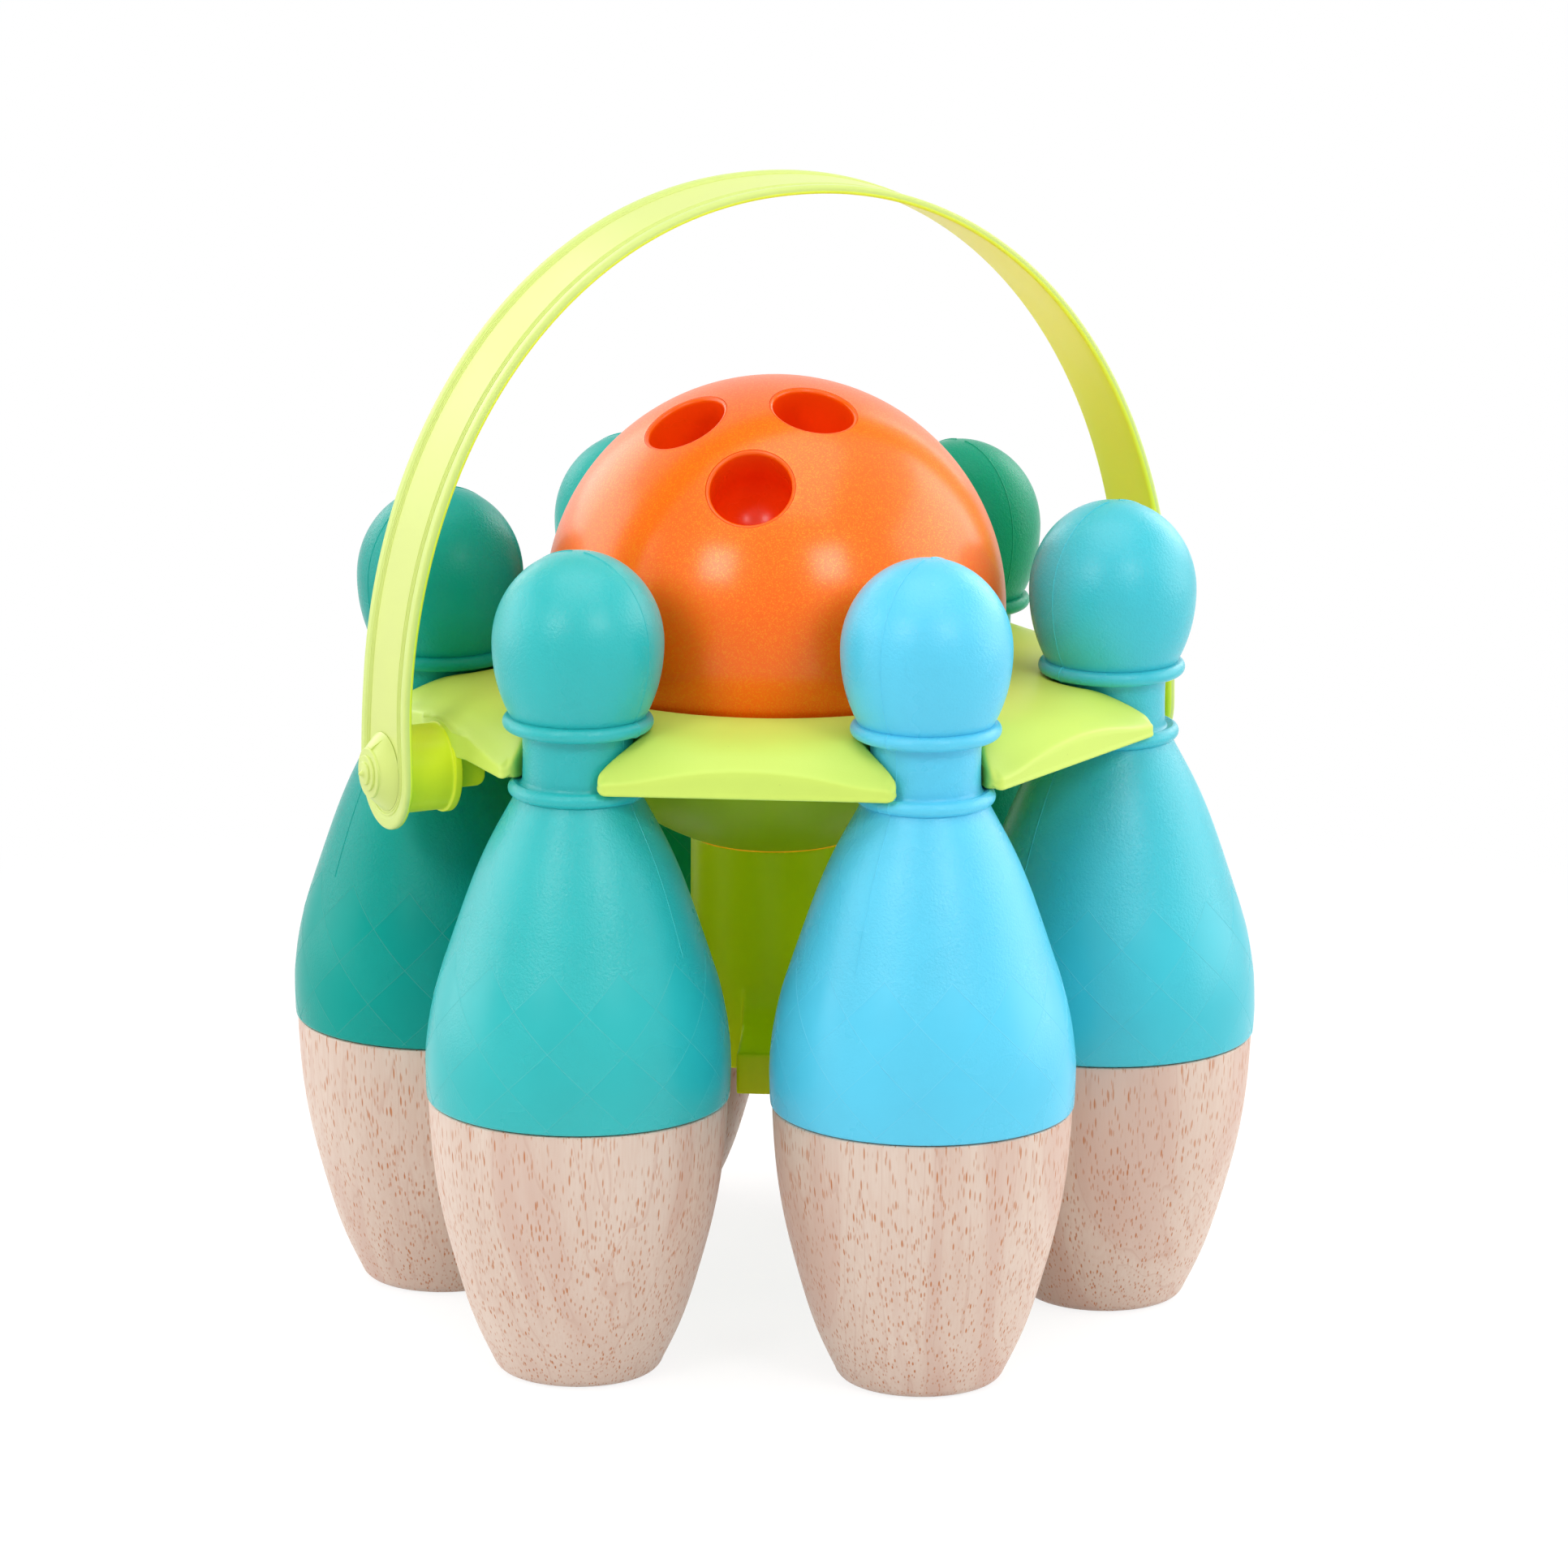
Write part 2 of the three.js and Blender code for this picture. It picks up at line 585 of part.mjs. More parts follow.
function makeBracket() {
  const turnedPart = turnedAboutX(
    [
      [0, FLANGE_BACK],
      [FLANGE_RADIUS, FLANGE_BACK],
      [FLANGE_RADIUS, DRUM_BACK],
      [DRUM_RADIUS, DRUM_BACK],
      [DRUM_RADIUS, DRUM_FACE],
      [0, DRUM_FACE],
    ],
    SMALL_SEGMENTS,
  );
  const boreEnd = DRUM_FACE - POST_DEPTH - FIT_GAP;
  const bore = rodAboutX(POST_RADIUS + FIT_GAP, boreEnd, DRUM_FACE + CUT_OVERRUN);
  return turnedPart
    .translate([0, 0, PIVOT_HEIGHT])
    .add(makeLug(0))
    .subtract(bore.translate([0, 0, PIVOT_HEIGHT]));
}

// Points of the strap's arch in X and Z, over the pivot axis
function archPoints(halfSpan, rise) {
  const power = 2 / CROWN_POWER;
  const points = [];
  for (let i = 0; i <= STRAP_STEPS; i += 1) {
    const angle = (Math.PI * i) / STRAP_STEPS;
    const along = Math.sign(Math.cos(angle)) * Math.abs(Math.cos(angle)) ** power;
    const up = Math.abs(Math.sin(angle)) ** power;
    points.push(new THREE.Vector2(halfSpan * along, STRAP_STRAIGHT + (rise - STRAP_STRAIGHT) * up));
  }
  return points;
}

function makeStrap() {
  const shape = new THREE.Shape([
    new THREE.Vector2(STRAP_FACE, 0),
    ...archPoints(STRAP_FACE, STRAP_RISE),
    new THREE.Vector2(-STRAP_FACE, 0),
    new THREE.Vector2(-STRAP_BACK, 0),
    ...archPoints(STRAP_BACK, STRAP_RISE - STRAP_THICKNESS).reverse(),
    new THREE.Vector2(STRAP_BACK, 0),
  ]);
  let strap = crossPrism(shape, STRAP_WIDTH);
  const end = rodAboutX(STRAP_END_RADIUS, STRAP_BACK, STRAP_FACE);
  const hole = rodAboutX(POST_RADIUS + FIT_GAP, STRAP_BACK - CUT_OVERRUN, STRAP_FACE + CUT_OVERRUN);
  for (const turn of [0, 180]) {
    strap = strap.add(end.rotate([0, 0, turn])).subtract(hole.rotate([0, 0, turn]));
  }
  return toGeometry(strap);
}

// Stud: post through the strap and into the drum, with a stepped cone outside
function makeStud() {
  const seat = STRAP_FACE + FIT_GAP;
  const knob = seat + CONE_HEIGHT;
  const tip = DRUM_FACE - POST_DEPTH;
  const steps = knobRadiusShares.map((share, i) => [
    share * KNOB_RADIUS,
    knob + knobHeightShares[i] * KNOB_HEIGHT,
  ]);
  const outline = [
    [0, tip],
    [POST_RADIUS, tip],
    [POST_RADIUS, seat],
    [CONE_RADIUS, seat],
    ...steps,
    [0, knob + KNOB_HEIGHT + NUB_HEIGHT],
  ];
  return turnedAboutX(outline, SMALL_SEGMENTS);
}

// Puts a left and a right copy of a solid made for the +X side into a group
function addPair(group, name, solid, material) {
  group.add(makeNode(`${name}_left`, toGeometry(solid.rotate([0, 0, 180])), material));
  group.add(makeNode(`${name}_right`, toGeometry(solid), material));
}

function makeCarrier() {
  const carrier = new THREE.Group();
  carrier.add(makeTray(), makeColumn());
  addPair(carrier, "pivot_bracket", makeBracket(), lime);
  return carrier;
}

function makeHandle() {
  const handle = new THREE.Group();
  handle.position.set(0, 0, PIVOT_HEIGHT);
  handle.add(makeNode("handle_strap", makeStrap(), paleLime));
  addPair(handle, "handle_stud", makeStud(), paleLime);
  return handle;
}

const bowlingSet = new THREE.Group();
bowlingSet.add(makeCarrier(), makeHandle(), makeBall(), makePins());

export default bowlingSet;
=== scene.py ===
"""Toy bowling set: looks of the pins, the ball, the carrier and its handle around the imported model."""

import math

import bmesh
import bpy
import numpy as np
from bpy.props import FloatProperty, FloatVectorProperty, PointerProperty
from mathutils import Euler, Matrix, Vector


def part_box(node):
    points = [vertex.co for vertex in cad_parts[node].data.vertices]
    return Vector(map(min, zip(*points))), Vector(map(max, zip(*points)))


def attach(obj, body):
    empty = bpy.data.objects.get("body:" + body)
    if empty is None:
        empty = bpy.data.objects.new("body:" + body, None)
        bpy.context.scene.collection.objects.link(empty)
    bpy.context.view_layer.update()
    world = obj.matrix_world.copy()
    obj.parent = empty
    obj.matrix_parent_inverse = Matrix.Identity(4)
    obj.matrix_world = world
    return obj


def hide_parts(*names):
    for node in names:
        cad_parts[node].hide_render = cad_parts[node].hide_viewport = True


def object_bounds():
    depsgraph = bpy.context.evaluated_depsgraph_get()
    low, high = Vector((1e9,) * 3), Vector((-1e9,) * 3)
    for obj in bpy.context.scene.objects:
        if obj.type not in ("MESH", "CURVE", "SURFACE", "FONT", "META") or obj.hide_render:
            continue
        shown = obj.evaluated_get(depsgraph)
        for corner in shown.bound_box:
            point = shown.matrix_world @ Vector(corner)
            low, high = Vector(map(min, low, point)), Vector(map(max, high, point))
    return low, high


bl_info = {
    "name": "Toy Bowling Set",
    "version": (1, 0, 0),
    "blender": (4, 5, 0),
    "location": "View3D > Sidebar > Bowling",
    "description": "Builds a toy bowling set: pins, ball, carrier and handle",
    "category": "Object",
}

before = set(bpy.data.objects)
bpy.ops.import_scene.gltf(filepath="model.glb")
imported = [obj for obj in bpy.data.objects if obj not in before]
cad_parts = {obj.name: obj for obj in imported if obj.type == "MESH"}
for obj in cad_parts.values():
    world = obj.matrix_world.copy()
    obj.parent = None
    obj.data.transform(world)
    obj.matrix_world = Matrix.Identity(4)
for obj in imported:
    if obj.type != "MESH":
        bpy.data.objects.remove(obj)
CAD_LOW, CAD_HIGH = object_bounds()
MM = 0.001
PIN_COUNT = 6
PITCH = 2 * math.pi / PIN_COUNT
FIRST_PIN_ANGLE = -math.pi / 2

# Pin, in millimetres
PIN_SEGMENTS = 144
SPLIT_HEIGHT = 68.9
NECK_HEIGHT = 146.2
NECK_LENGTH = 16.4
NECK_FILLET = 1.0
NECK_WAIST = 0.12
LOWER_RING_RADIUS = 17.0
UPPER_RING_RADIUS = 18.3
RING_ROUND = 1.85
HEAD_LIFT = 19.4
HEAD_RISE = 22.3
HEAD_TAPER = 29.0
SHELL_WALL = 2.2
EDGE_ROUND = 0.8
WOOD_INSET = 0.45
WOOD_CHAMFER = 0.55
FOOT_ROUND = 4.8
FOOT_TAPER = 24.0
TENON_HEIGHT = 8.0
TENON_GAP = 0.3
body_height_shares = [0, 0.08, 0.17, 0.27, 0.38, 0.47, 0.55, 0.65, 0.75, 0.835, 0.917, 0.97, 1.05]
body_radius_shares = [0.525, 0.677, 0.796, 0.9, 0.97, 0.995, 0.999, 0.94, 0.818, 0.702, 0.562, 0.45, 0.29]

# Diamonds pressed into the pins, in degrees and millimetres
DIAMOND_COUNT = 12
DIAMOND_TOP = 107.5
DIAMOND_HEIGHT = 18.6
DIAMOND_LINE = 0.16
MOULD_LINE = 0.28
pin_mould_turns = [-148.8, -164.0, -76.0, -58.0, -173.0, -59.2]
pin_diamond_turns = [-134.0, -127.0, -120.0, -131.0, -128.0, -126.0]

# Ball, in millimetres and degrees
BALL_RADIUS = 57.5
BALL_RISE = 15.4
BALL_TILT = 29.0
BALL_HEADING = -130.0
BALL_SPIN = 13.4
BALL_WALL = 2.6
BALL_SEAM = 0.12
FINGER_COUNT = 3
FINGER_SPREAD = 18.9
FINGER_DEPTH = 22.0
LIP_WIDTH = 0.95
LIP_ROUND = 0.8
LIP_SINK = 0.06
LIP_GAP = 0.09
CUP_WALL = 1.0
CUP_TONE_DEPTH = 1.7
BALL_FINENESS = 7

# Tray, in millimetres and degrees
TRAY_WALL = 2.4
SKIRT_DEPTH = 12.5
SKIRT_SHADE_DEPTH = 6.0
BOWL_GAP = 1.8
BOWL_SEAT = 0.3
PETAL_ROLL = 32.0
SLOT_ROUND = 5.2
SLOT_DROP = 5.2
TIP_DROP = 2.1
TIP_LENGTH = 13.0
SLOT_HALF_WIDTH = 13.6
MOUTH_HALF_WIDTH = 12.45
MOUTH_LENGTH = 9.0
TIP_ROUND = 2.4
BACK_STEPS = 20
MOUTH_STEPS = 12
TIP_STEPS = 11
EDGE_STEPS = 15
RIM_ROUND = 1.0
HOLLOW_ROUND = 3.0
EDGE_LINE = 0.12
SPIGOT_LENGTH = 9.0
SPIGOT_FLOOR = 2.0
SADDLE_ROUND = 3.4
SADDLE_REACH = 14.0
SADDLE_LENGTH = 10.0
BULGE_REACH = 4.0
BULGE_MARGIN = 0.8
BULGE_EDGE = 2.2
BULGE_SHARE = 0.86
ROLL_BLEND = 4.0
PETAL_CROWN = 4.2
CROWN_REACH = 29.0
CROWN_WIDTH = 15.0
EDGE_FILLET = 1.1
EDGE_FILLET_WIDTH = 2.5
TIP_LIFT = 1.6
TIP_LIFT_LENGTH = 3.2
TIP_LIFT_TURN = -52.0
roll_inset_shares = [0, 0.015, 0.065, 0.145, 0.27, 0.45, 0.7, 1]
roll_drop_shares = [0.39, 0.385, 0.345, 0.24, 0.12, 0.045, 0.01, 0]

# Column and brackets, in millimetres
COLUMN_RADIUS = 20.9
COLUMN_WALL = 2.5
SEAM_LAP = 0.3
# Drop of the painted glow line below the bowl's underside
SEAM_GLOW_DROP = 0.34
ARM_REACH = 42.0
ARM_WIDTH = 11.8
ARM_FACE_HEIGHT = 10.6
ARM_ROOT_HEIGHT = 21.0
ARM_WALL = 2.2
DRUM_RADIUS = 10.7
COLLAR_RADIUS = 11.35
COLLAR_THICKNESS = 1.9
LUG_LENGTH = 7.3
LUG_WIDTH = 16.0
LUG_RISE = 7.6
LUG_DROP = 4.0
LUG_ROUND = 2.5
CUT_PAST = 3.0
POST_RADIUS = 4.0
POST_DEPTH = 17.0

# Handle, in millimetres and degrees
STRAP_THICKNESS = 2.2
STRAP_TAIL = 30.0
CROWN_POWER = 2.09
STRAP_STRAIGHT = 9.0
STRAP_FLARE_LENGTH = 22.0
STRAP_BEAD = 2.9
STRAP_BEAD_DROP = 0.32
STRAP_EDGE_ROUND = 0.9
STRAP_FIELD_EDGE = 3.2
STRAP_INNER_DROP = 0.12
EDGE_FIELD = 8.6
EDGE_BLEND = 0.9
RIB_COUNT = 3
RIB_PITCH = 0.82
RIB_ROUND = 0.3
CONE_RADIUS = 9.7
CONE_HEIGHT = 3.6
KNOB_RADIUS = 6.2
KNOB_HEIGHT = 2.0
KNOB_ROUND = 0.32
NUB_HEIGHT = 1.2
FIN_TURN = -12.0
FIN_WIDTH = 0.45
FIT_GAP = 0.3


def place_of(node):
    """Middle of a node's box, in millimetres."""
    low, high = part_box(node)
    return (low + high) / 2 / MM


def size_of(node):
    """Size of a node's box, in millimetres."""
    low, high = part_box(node)
    return (high - low) / MM


pin_places = [place_of(f"pin_base_{k + 1}") for k in range(PIN_COUNT)]
RING_RADIUS = pin_places[1].xy.length
PETAL_REACH = size_of("tray").x / 2
PLATE_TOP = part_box("tray")[1].z / MM
TRAY_BOTTOM = PLATE_TOP - SKIRT_DEPTH
PIVOT_HEIGHT = place_of("handle_stud_right").z
STRAP_FACE = size_of("handle_strap").x / 2
STRAP_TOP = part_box("handle_strap")[1].z / MM
COLUMN_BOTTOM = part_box("column")[0].z / MM
BALL_PLACE = Vector((0, 0, PLATE_TOP + BALL_RISE))


class PinSettings(bpy.types.PropertyGroup):
    """Sizes of the pins and the depth of their grain"""

    belly: FloatProperty(
        name="Belly radius", description="Widest radius of a pin", default=0.03715, unit="LENGTH"
    )
    neck: FloatProperty(
        name="Neck radius", description="Radius between the two rings", default=0.0135, unit="LENGTH"
    )
    head: FloatProperty(
        name="Head radius", description="Widest radius of the head", default=0.0208, unit="LENGTH"
    )
    foot: FloatProperty(name="Foot radius", description="Flat under the wood", default=0.0177, unit="LENGTH")
    grain: FloatProperty(
        name="Grain depth", description="Depth of the leather grain", default=0.00007, unit="LENGTH"
    )


class BallSettings(bpy.types.PropertyGroup):
    """Sizes and colours of the ball"""

    radius: FloatProperty(
        name="Radius", description="Radius of the ball", default=BALL_RADIUS * MM, unit="LENGTH"
    )
    finger: FloatProperty(
        name="Finger radius", description="Radius of a finger hole", default=0.01005, unit="LENGTH"
    )
    shell: FloatVectorProperty(
        name="Shell", description="Colour of the shells", subtype="COLOR", default=(1.0, 0.12, 0.0)
    )
    cup: FloatVectorProperty(
        name="Cups", description="Colour of the finger cups", subtype="COLOR", default=(0.93, 0.07, 0.0005)
    )


class CarrierSettings(bpy.types.PropertyGroup):
    """Colours of the carrier"""

    lime: FloatVectorProperty(
        name="Lime", description="Colour of the tray", subtype="COLOR", default=(0.63, 0.81, 0.135)
    )
    # Painted shade: a darker, fuller lime painted on the tray's underside below the rim, standing in for its
    # shade
    shade: FloatVectorProperty(
        name="Shaded lime", description="Colour below the rim", subtype="COLOR", default=(0.5, 0.68, 0.004)
    )
    # Painted light and shade: the column's lime is a separate, brighter copy of the tray's lime without blue,
    # set to the column's look in its shade
    column: FloatVectorProperty(
        name="Column", description="Colour of the column", subtype="COLOR", default=(0.86, 1.0, 0.0)
    )
    # Painted light: the brackets' lime is a brighter copy of the tray's lime, standing in for light through
    # and onto the brackets
    drum: FloatVectorProperty(
        name="Drums", description="Colour of the brackets", subtype="COLOR", default=(0.78, 0.9, 0.02)
    )


class HandleSettings(bpy.types.PropertyGroup):
    """Sizes and colours of the handle"""

    width: FloatProperty(name="Width", description="Width of the strap", default=0.0268, unit="LENGTH")
    thickness: FloatProperty(
        name="Thickness", description="Thickness of the strap", default=STRAP_THICKNESS * MM, unit="LENGTH"
    )
    end: FloatProperty(
        name="End radius", description="Radius of the round ends", default=0.0144, unit="LENGTH"
    )
    lime: FloatVectorProperty(
        name="Pale lime", description="Colour of the strap", subtype="COLOR", default=(0.65, 0.74, 0.2)
    )
    edge: FloatVectorProperty(
        name="Edge", description="Colour of its thin edge", subtype="COLOR", default=(0.62, 0.74, 0.2)
    )


class StageSettings(bpy.types.PropertyGroup):
    """Camera and light"""

    heading: FloatProperty(
        name="Heading", description="Camera heading from +X", default=math.radians(64.28), subtype="ANGLE"
    )
    pitch: FloatProperty(
        name="Pitch", description="Camera pitch", default=math.radians(-13.839), subtype="ANGLE"
    )
    roll: FloatProperty(name="Roll", description="Camera roll", default=math.radians(0.324), subtype="ANGLE")
    lens: FloatProperty(name="Lens", description="Focal length in millimetres", default=179.78)
    lamps: FloatProperty(name="Lamps", description="Brightness of the lamps", default=1.0)


# Stage, in metres, and the camera's sensor in millimetres
EYE_PLACE = (-0.82473, -1.71771, 0.59946)
SENSOR_WIDTH = 36.0
FLOOR_REACH = 9.0
FLOOR_DROP = 0.0002
SKY_LIGHT = 0.38
LAMP_DISTANCE = 1.3

# Lamps: name, turn from the camera and rise in degrees, size in metres, radiance
lamp_places = [
    ("front left", -32, 31, 0.33, 9.6),
    ("front right", 30, 32, 0.33, 9.6),
    ("left wall", -97, 12, 1.1, 1.9),
    ("right wall", 98, 14, 1.1, 2.05),
    ("back left", -140, 22, 0.7, 2.0),
    ("back right", 140, 22, 0.7, 2.6),
    ("overhead", 0, 82, 1.2, 1.9),
]

# Looks of the pins in turn, and colours that no setting holds
pin_colours = [
    (0.095, 0.61, 0.86),
    (0.042, 0.53, 0.63),
    (0.0, 0.31, 0.185),
    (0.0, 0.38, 0.33),
    (0.0, 0.335, 0.285),
    (0.02, 0.485, 0.49),
]
pin_slots = ["sky_blue", "turquoise", "deep_green", "sea_green", "dark_teal", "aqua_green"]
pin_shine = [0.42, 0.4, 0.1, 0.1, 0.12, 0.4]
PLASTIC_SHINE = 0.36
COLUMN_SHINE = 0.16
PEARL_SHINE = 0.9
PEARL_TINT = (1.0, 0.45, 0.04, 1.0)
FLAKE_ORANGE = (1.0, 0.34, 0.01)
SPECK_ORANGE = (0.45, 0.12, 0.03)
# Painted light: orange light of the ball glowing through the seam under the bowl, as a colour and as a faint
# emission
PAINTED_SEAM_LIGHT = (1.0, 0.45, 0.01)
PAINTED_SEAM_GLOW = (0.42, 0.2, 0.005)
# Painted light: a fuller yellow for the strap's inner face, standing in for light shining through the strap
STRAP_INSIDE_PAINTED_LIGHT = (0.86, 1.0, 0.035)


def smooth_curve(places, values):
    """Natural cubic through the points, as a function."""
    x, y = np.array(places, float), np.array(values, float)
    gap = np.diff(x)
    count = len(x)
    system, right = np.eye(count), np.zeros(count)
    for i in range(1, count - 1):
        system[i, i - 1 : i + 2] = gap[i - 1], 2 * (gap[i - 1] + gap[i]), gap[i]
        right[i] = 6 * ((y[i + 1] - y[i]) / gap[i] - (y[i] - y[i - 1]) / gap[i - 1])
    bend = np.linalg.solve(system, right)

    def value(at):
        at = np.clip(at, x[0], x[-1])
        i = np.clip(np.searchsorted(x, at) - 1, 0, count - 2)
        left, rest = at - x[i], x[i + 1] - at
        return (
            (bend[i] * rest**3 + bend[i + 1] * left**3) / (6 * gap[i])
            + (y[i] / gap[i] - bend[i] * gap[i] / 6) * rest
            + (y[i + 1] / gap[i] - bend[i + 1] * gap[i] / 6) * left
        )

    return value


def soft_step(x):
    """Smooth step from 0 at 0 to 1 at 1."""
    x = np.clip(x, 0, 1)
    return x * x * (3 - 2 * x)


def arc(centre_radius, centre_height, across, along, start, end, steps):
    """Points of an elliptic arc as [radius, height], with angles in degrees."""
    turns = np.radians(np.linspace(start, end, steps + 1))
    return [(centre_radius + across * math.cos(t), centre_height + along * math.sin(t)) for t in turns]


def make_mesh(name, verts, faces, outwards=True):
    """Mesh from millimetres, with doubles merged and faces turned outwards."""
    mesh = bpy.data.meshes.new(name)
    mesh.from_pydata([tuple(c * MM for c in v) for v in verts], [], faces)
    if outwards:
        bm = bmesh.new()
        bm.from_mesh(mesh)
        bmesh.ops.remove_doubles(bm, verts=bm.verts, dist=0.0005 * MM)
        bmesh.ops.dissolve_degenerate(bm, edges=bm.edges, dist=0.0002 * MM)
        bmesh.ops.recalc_face_normals(bm, faces=bm.faces)
        bm.to_mesh(mesh)
        bm.free()
    return mesh


def turned_mesh(name, outline, segments, turn=None):
    """Solid turned about +Z from [radius, height] points that start and end on the axis or close."""
    turn = turn or Matrix()
    closed = outline[0] == outline[-1]
    points = outline[:-1] if closed else outline
    verts, rings = [], []
    for radius, height in points:
        count = segments if radius > 1e-6 else 1
        rings.append((len(verts), count))
        for s in range(count):
            a = 2 * math.pi * s / segments
            verts.append(turn @ Vector((radius * math.cos(a), radius * math.sin(a), height)))
    faces = []
    pairs = list(zip(rings, rings[1:] + rings[:1] if closed else rings[1:]))
    for (low, low_count), (high, high_count) in pairs:
        for s in range(segments):
            n = (s + 1) % segments
            corners = [low + s % low_count, low + n % low_count, high + n % high_count, high + s % high_count]
            face = list(dict.fromkeys(corners))
            if len(face) > 2:
                faces.append(face)
    return make_mesh(name, verts, faces)


def show_piece(name, mesh, material, body, replaced=(), crease=35):
    """Object with its place in its mesh, riding on a body of the frame."""
    piece = bpy.data.objects.new(name, mesh)
    bpy.context.scene.collection.objects.link(piece)
    mesh.materials.clear()
    mesh.materials.append(material)
    mesh.shade_smooth()
    mesh.set_sharp_from_angle(angle=math.radians(crease))
    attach(piece, body)
    if replaced:
        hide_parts(*replaced)


def grow(name, base, tree, values):
    """Plain mesh made by a Geometry Nodes tree from a base mesh."""
    host = bpy.data.objects.new(name, base)
    bpy.context.scene.collection.objects.link(host)
    modifier = host.modifiers.new("Grow", "NODES")
    modifier.node_group = tree
    for socket in tree.interface.items_tree:
        if socket.item_type == "SOCKET" and socket.in_out == "INPUT" and socket.name in values:
            modifier[socket.identifier] = values[socket.name]
    graph = bpy.context.evaluated_depsgraph_get()
    mesh = bpy.data.meshes.new_from_object(host.evaluated_get(graph))
    host.modifiers.clear()
    bpy.data.objects.remove(host)
    return mesh


def fused_mesh(name, add, cut, voxel, rounds):
    """One body from solids joined and cut, remeshed and smoothed."""
    host = bpy.data.objects.new(name, add[0])
    bpy.context.scene.collection.objects.link(host)
    helpers = []
    for operation, meshes in (("UNION", add[1:]), ("DIFFERENCE", cut)):
        for mesh in meshes:
            helper = bpy.data.objects.new(f"{name}_helper", mesh)
            bpy.context.scene.collection.objects.link(helper)
            helpers.append(helper)
            boolean = host.modifiers.new("Join", "BOOLEAN")
            boolean.operation = operation
            boolean.solver = "EXACT"
            boolean.object = helper
    remesh = host.modifiers.new("Remesh", "REMESH")
    remesh.mode = "VOXEL"
    remesh.voxel_size = voxel * MM
    smooth = host.modifiers.new("Smooth", "SMOOTH")
    smooth.factor = 0.5
    smooth.iterations = rounds
    graph = bpy.context.evaluated_depsgraph_get()
    mesh = bpy.data.meshes.new_from_object(host.evaluated_get(graph))
    mesh.name = name
    host.modifiers.clear()
    for helper in [host, *helpers]:
        bpy.data.objects.remove(helper)
    return mesh


def prism_mesh(name, outline, width, place=None):
    """Prism of an outline in X and Z, centred on Y = 0."""
    place = place or Matrix()
    half, count = width / 2, len(outline)
    verts = [place @ Vector((x, side * half, z)) for side in (-1, 1) for x, z in outline]
    faces = [list(range(count)), list(range(2 * count - 1, count - 1, -1))]
    for i in range(count):
        n = (i + 1) % count
        faces.append([i, n, n + count, i + count])
    return make_mesh(name, verts, faces)


# Shader helpers


def add_node(tree, kind, inputs=None, **settings):
    """Node with settings, and with inputs as values or as sockets to link."""
    node = tree.nodes.new(kind)
    for key, value in settings.items():
        setattr(node, key, value)
    for key, value in (inputs or {}).items():
        socket = node.inputs[key]
        if isinstance(value, bpy.types.NodeSocket):
            tree.links.new(value, socket)
        else:
            socket.default_value = value
    return node


def maths(tree, operation, *values):
    """Result of a Math node for values or sockets."""
    return add_node(tree, "ShaderNodeMath", dict(enumerate(values)), operation=operation).outputs[0]


def ramp(tree, value, low, high, start=0.0, end=1.0):
    """Value moved smoothly from one range to another."""
    inputs = {"Value": value, "From Min": low, "From Max": high, "To Min": start, "To Max": end}
    return add_node(tree, "ShaderNodeMapRange", inputs, interpolation_type="SMOOTHSTEP").outputs["Result"]


def blend_colour(tree, factor, first, second):
    """Colour between two colours, each three numbers or a socket."""
    first, second = (c if isinstance(c, bpy.types.NodeSocket) else (*c, 1) for c in (first, second))
    return add_node(tree, "ShaderNodeMix", {0: factor, 6: first, 7: second}, data_type="RGBA").outputs[2]


def noise(tree, vector, scale, detail, **inputs):
    """Value of a noise texture over a vector, from 0 to 1."""
    inputs = {"Vector": vector, "Scale": scale, "Detail": detail, **inputs}
    return add_node(tree, "ShaderNodeTexNoise", inputs).outputs[0]


def split(tree, vector):
    """X, Y and Z of a vector."""
    return add_node(tree, "ShaderNodeSeparateXYZ", {0: vector}).outputs


def vector_length(tree, vector):
    """Length of a vector."""
    return add_node(tree, "ShaderNodeVectorMath", {0: vector}, operation="LENGTH").outputs["Value"]


def shader_group(name, inputs, outputs):
    """Empty shader group with named sockets, its input node and its output node."""
    tree = bpy.data.node_groups.new(name, "ShaderNodeTree")
    for label, kind, value in inputs:
        socket = tree.interface.new_socket(label, in_out="INPUT", socket_type=kind)
        if value is not None:
            socket.default_value = value
    for label, kind in outputs:
        tree.interface.new_socket(label, in_out="OUTPUT", socket_type=kind)
    return tree, tree.nodes.new("NodeGroupInput"), tree.nodes.new("NodeGroupOutput")


def build_leather_group():
    """Leather grain of a plastic mould, as a height."""
    tree, source, sink = shader_group(
        "Leather grain",
        [("Vector", "NodeSocketVector", None), ("Size", "NodeSocketFloat", 0.9)],
        [("Height", "NodeSocketFloat")],
    )
    scale = maths(tree, "DIVIDE", 1.0, source.outputs["Size"])
    vector = source.outputs["Vector"]
    warp = add_node(tree, "ShaderNodeTexNoise", {"Vector": vector, "Scale": scale, "Detail": 2.0})
    spread = add_node(
        tree, "ShaderNodeVectorMath", {0: warp.outputs["Color"], 1: (0.9,) * 3}, operation="MULTIPLY"
    )
    moved = add_node(
        tree, "ShaderNodeVectorMath", {0: vector, 1: spread.outputs[0]}, operation="ADD"
    ).outputs[0]
    cells = add_node(tree, "ShaderNodeTexVoronoi", {"Vector": moved, "Scale": scale}, feature="SMOOTH_F1")
    fine = noise(tree, moved, maths(tree, "MULTIPLY", scale, 2.1), 3.0)
    height = maths(tree, "MULTIPLY_ADD", fine, 0.8, cells.outputs["Distance"])
    tree.links.new(height, sink.inputs["Height"])
    return tree


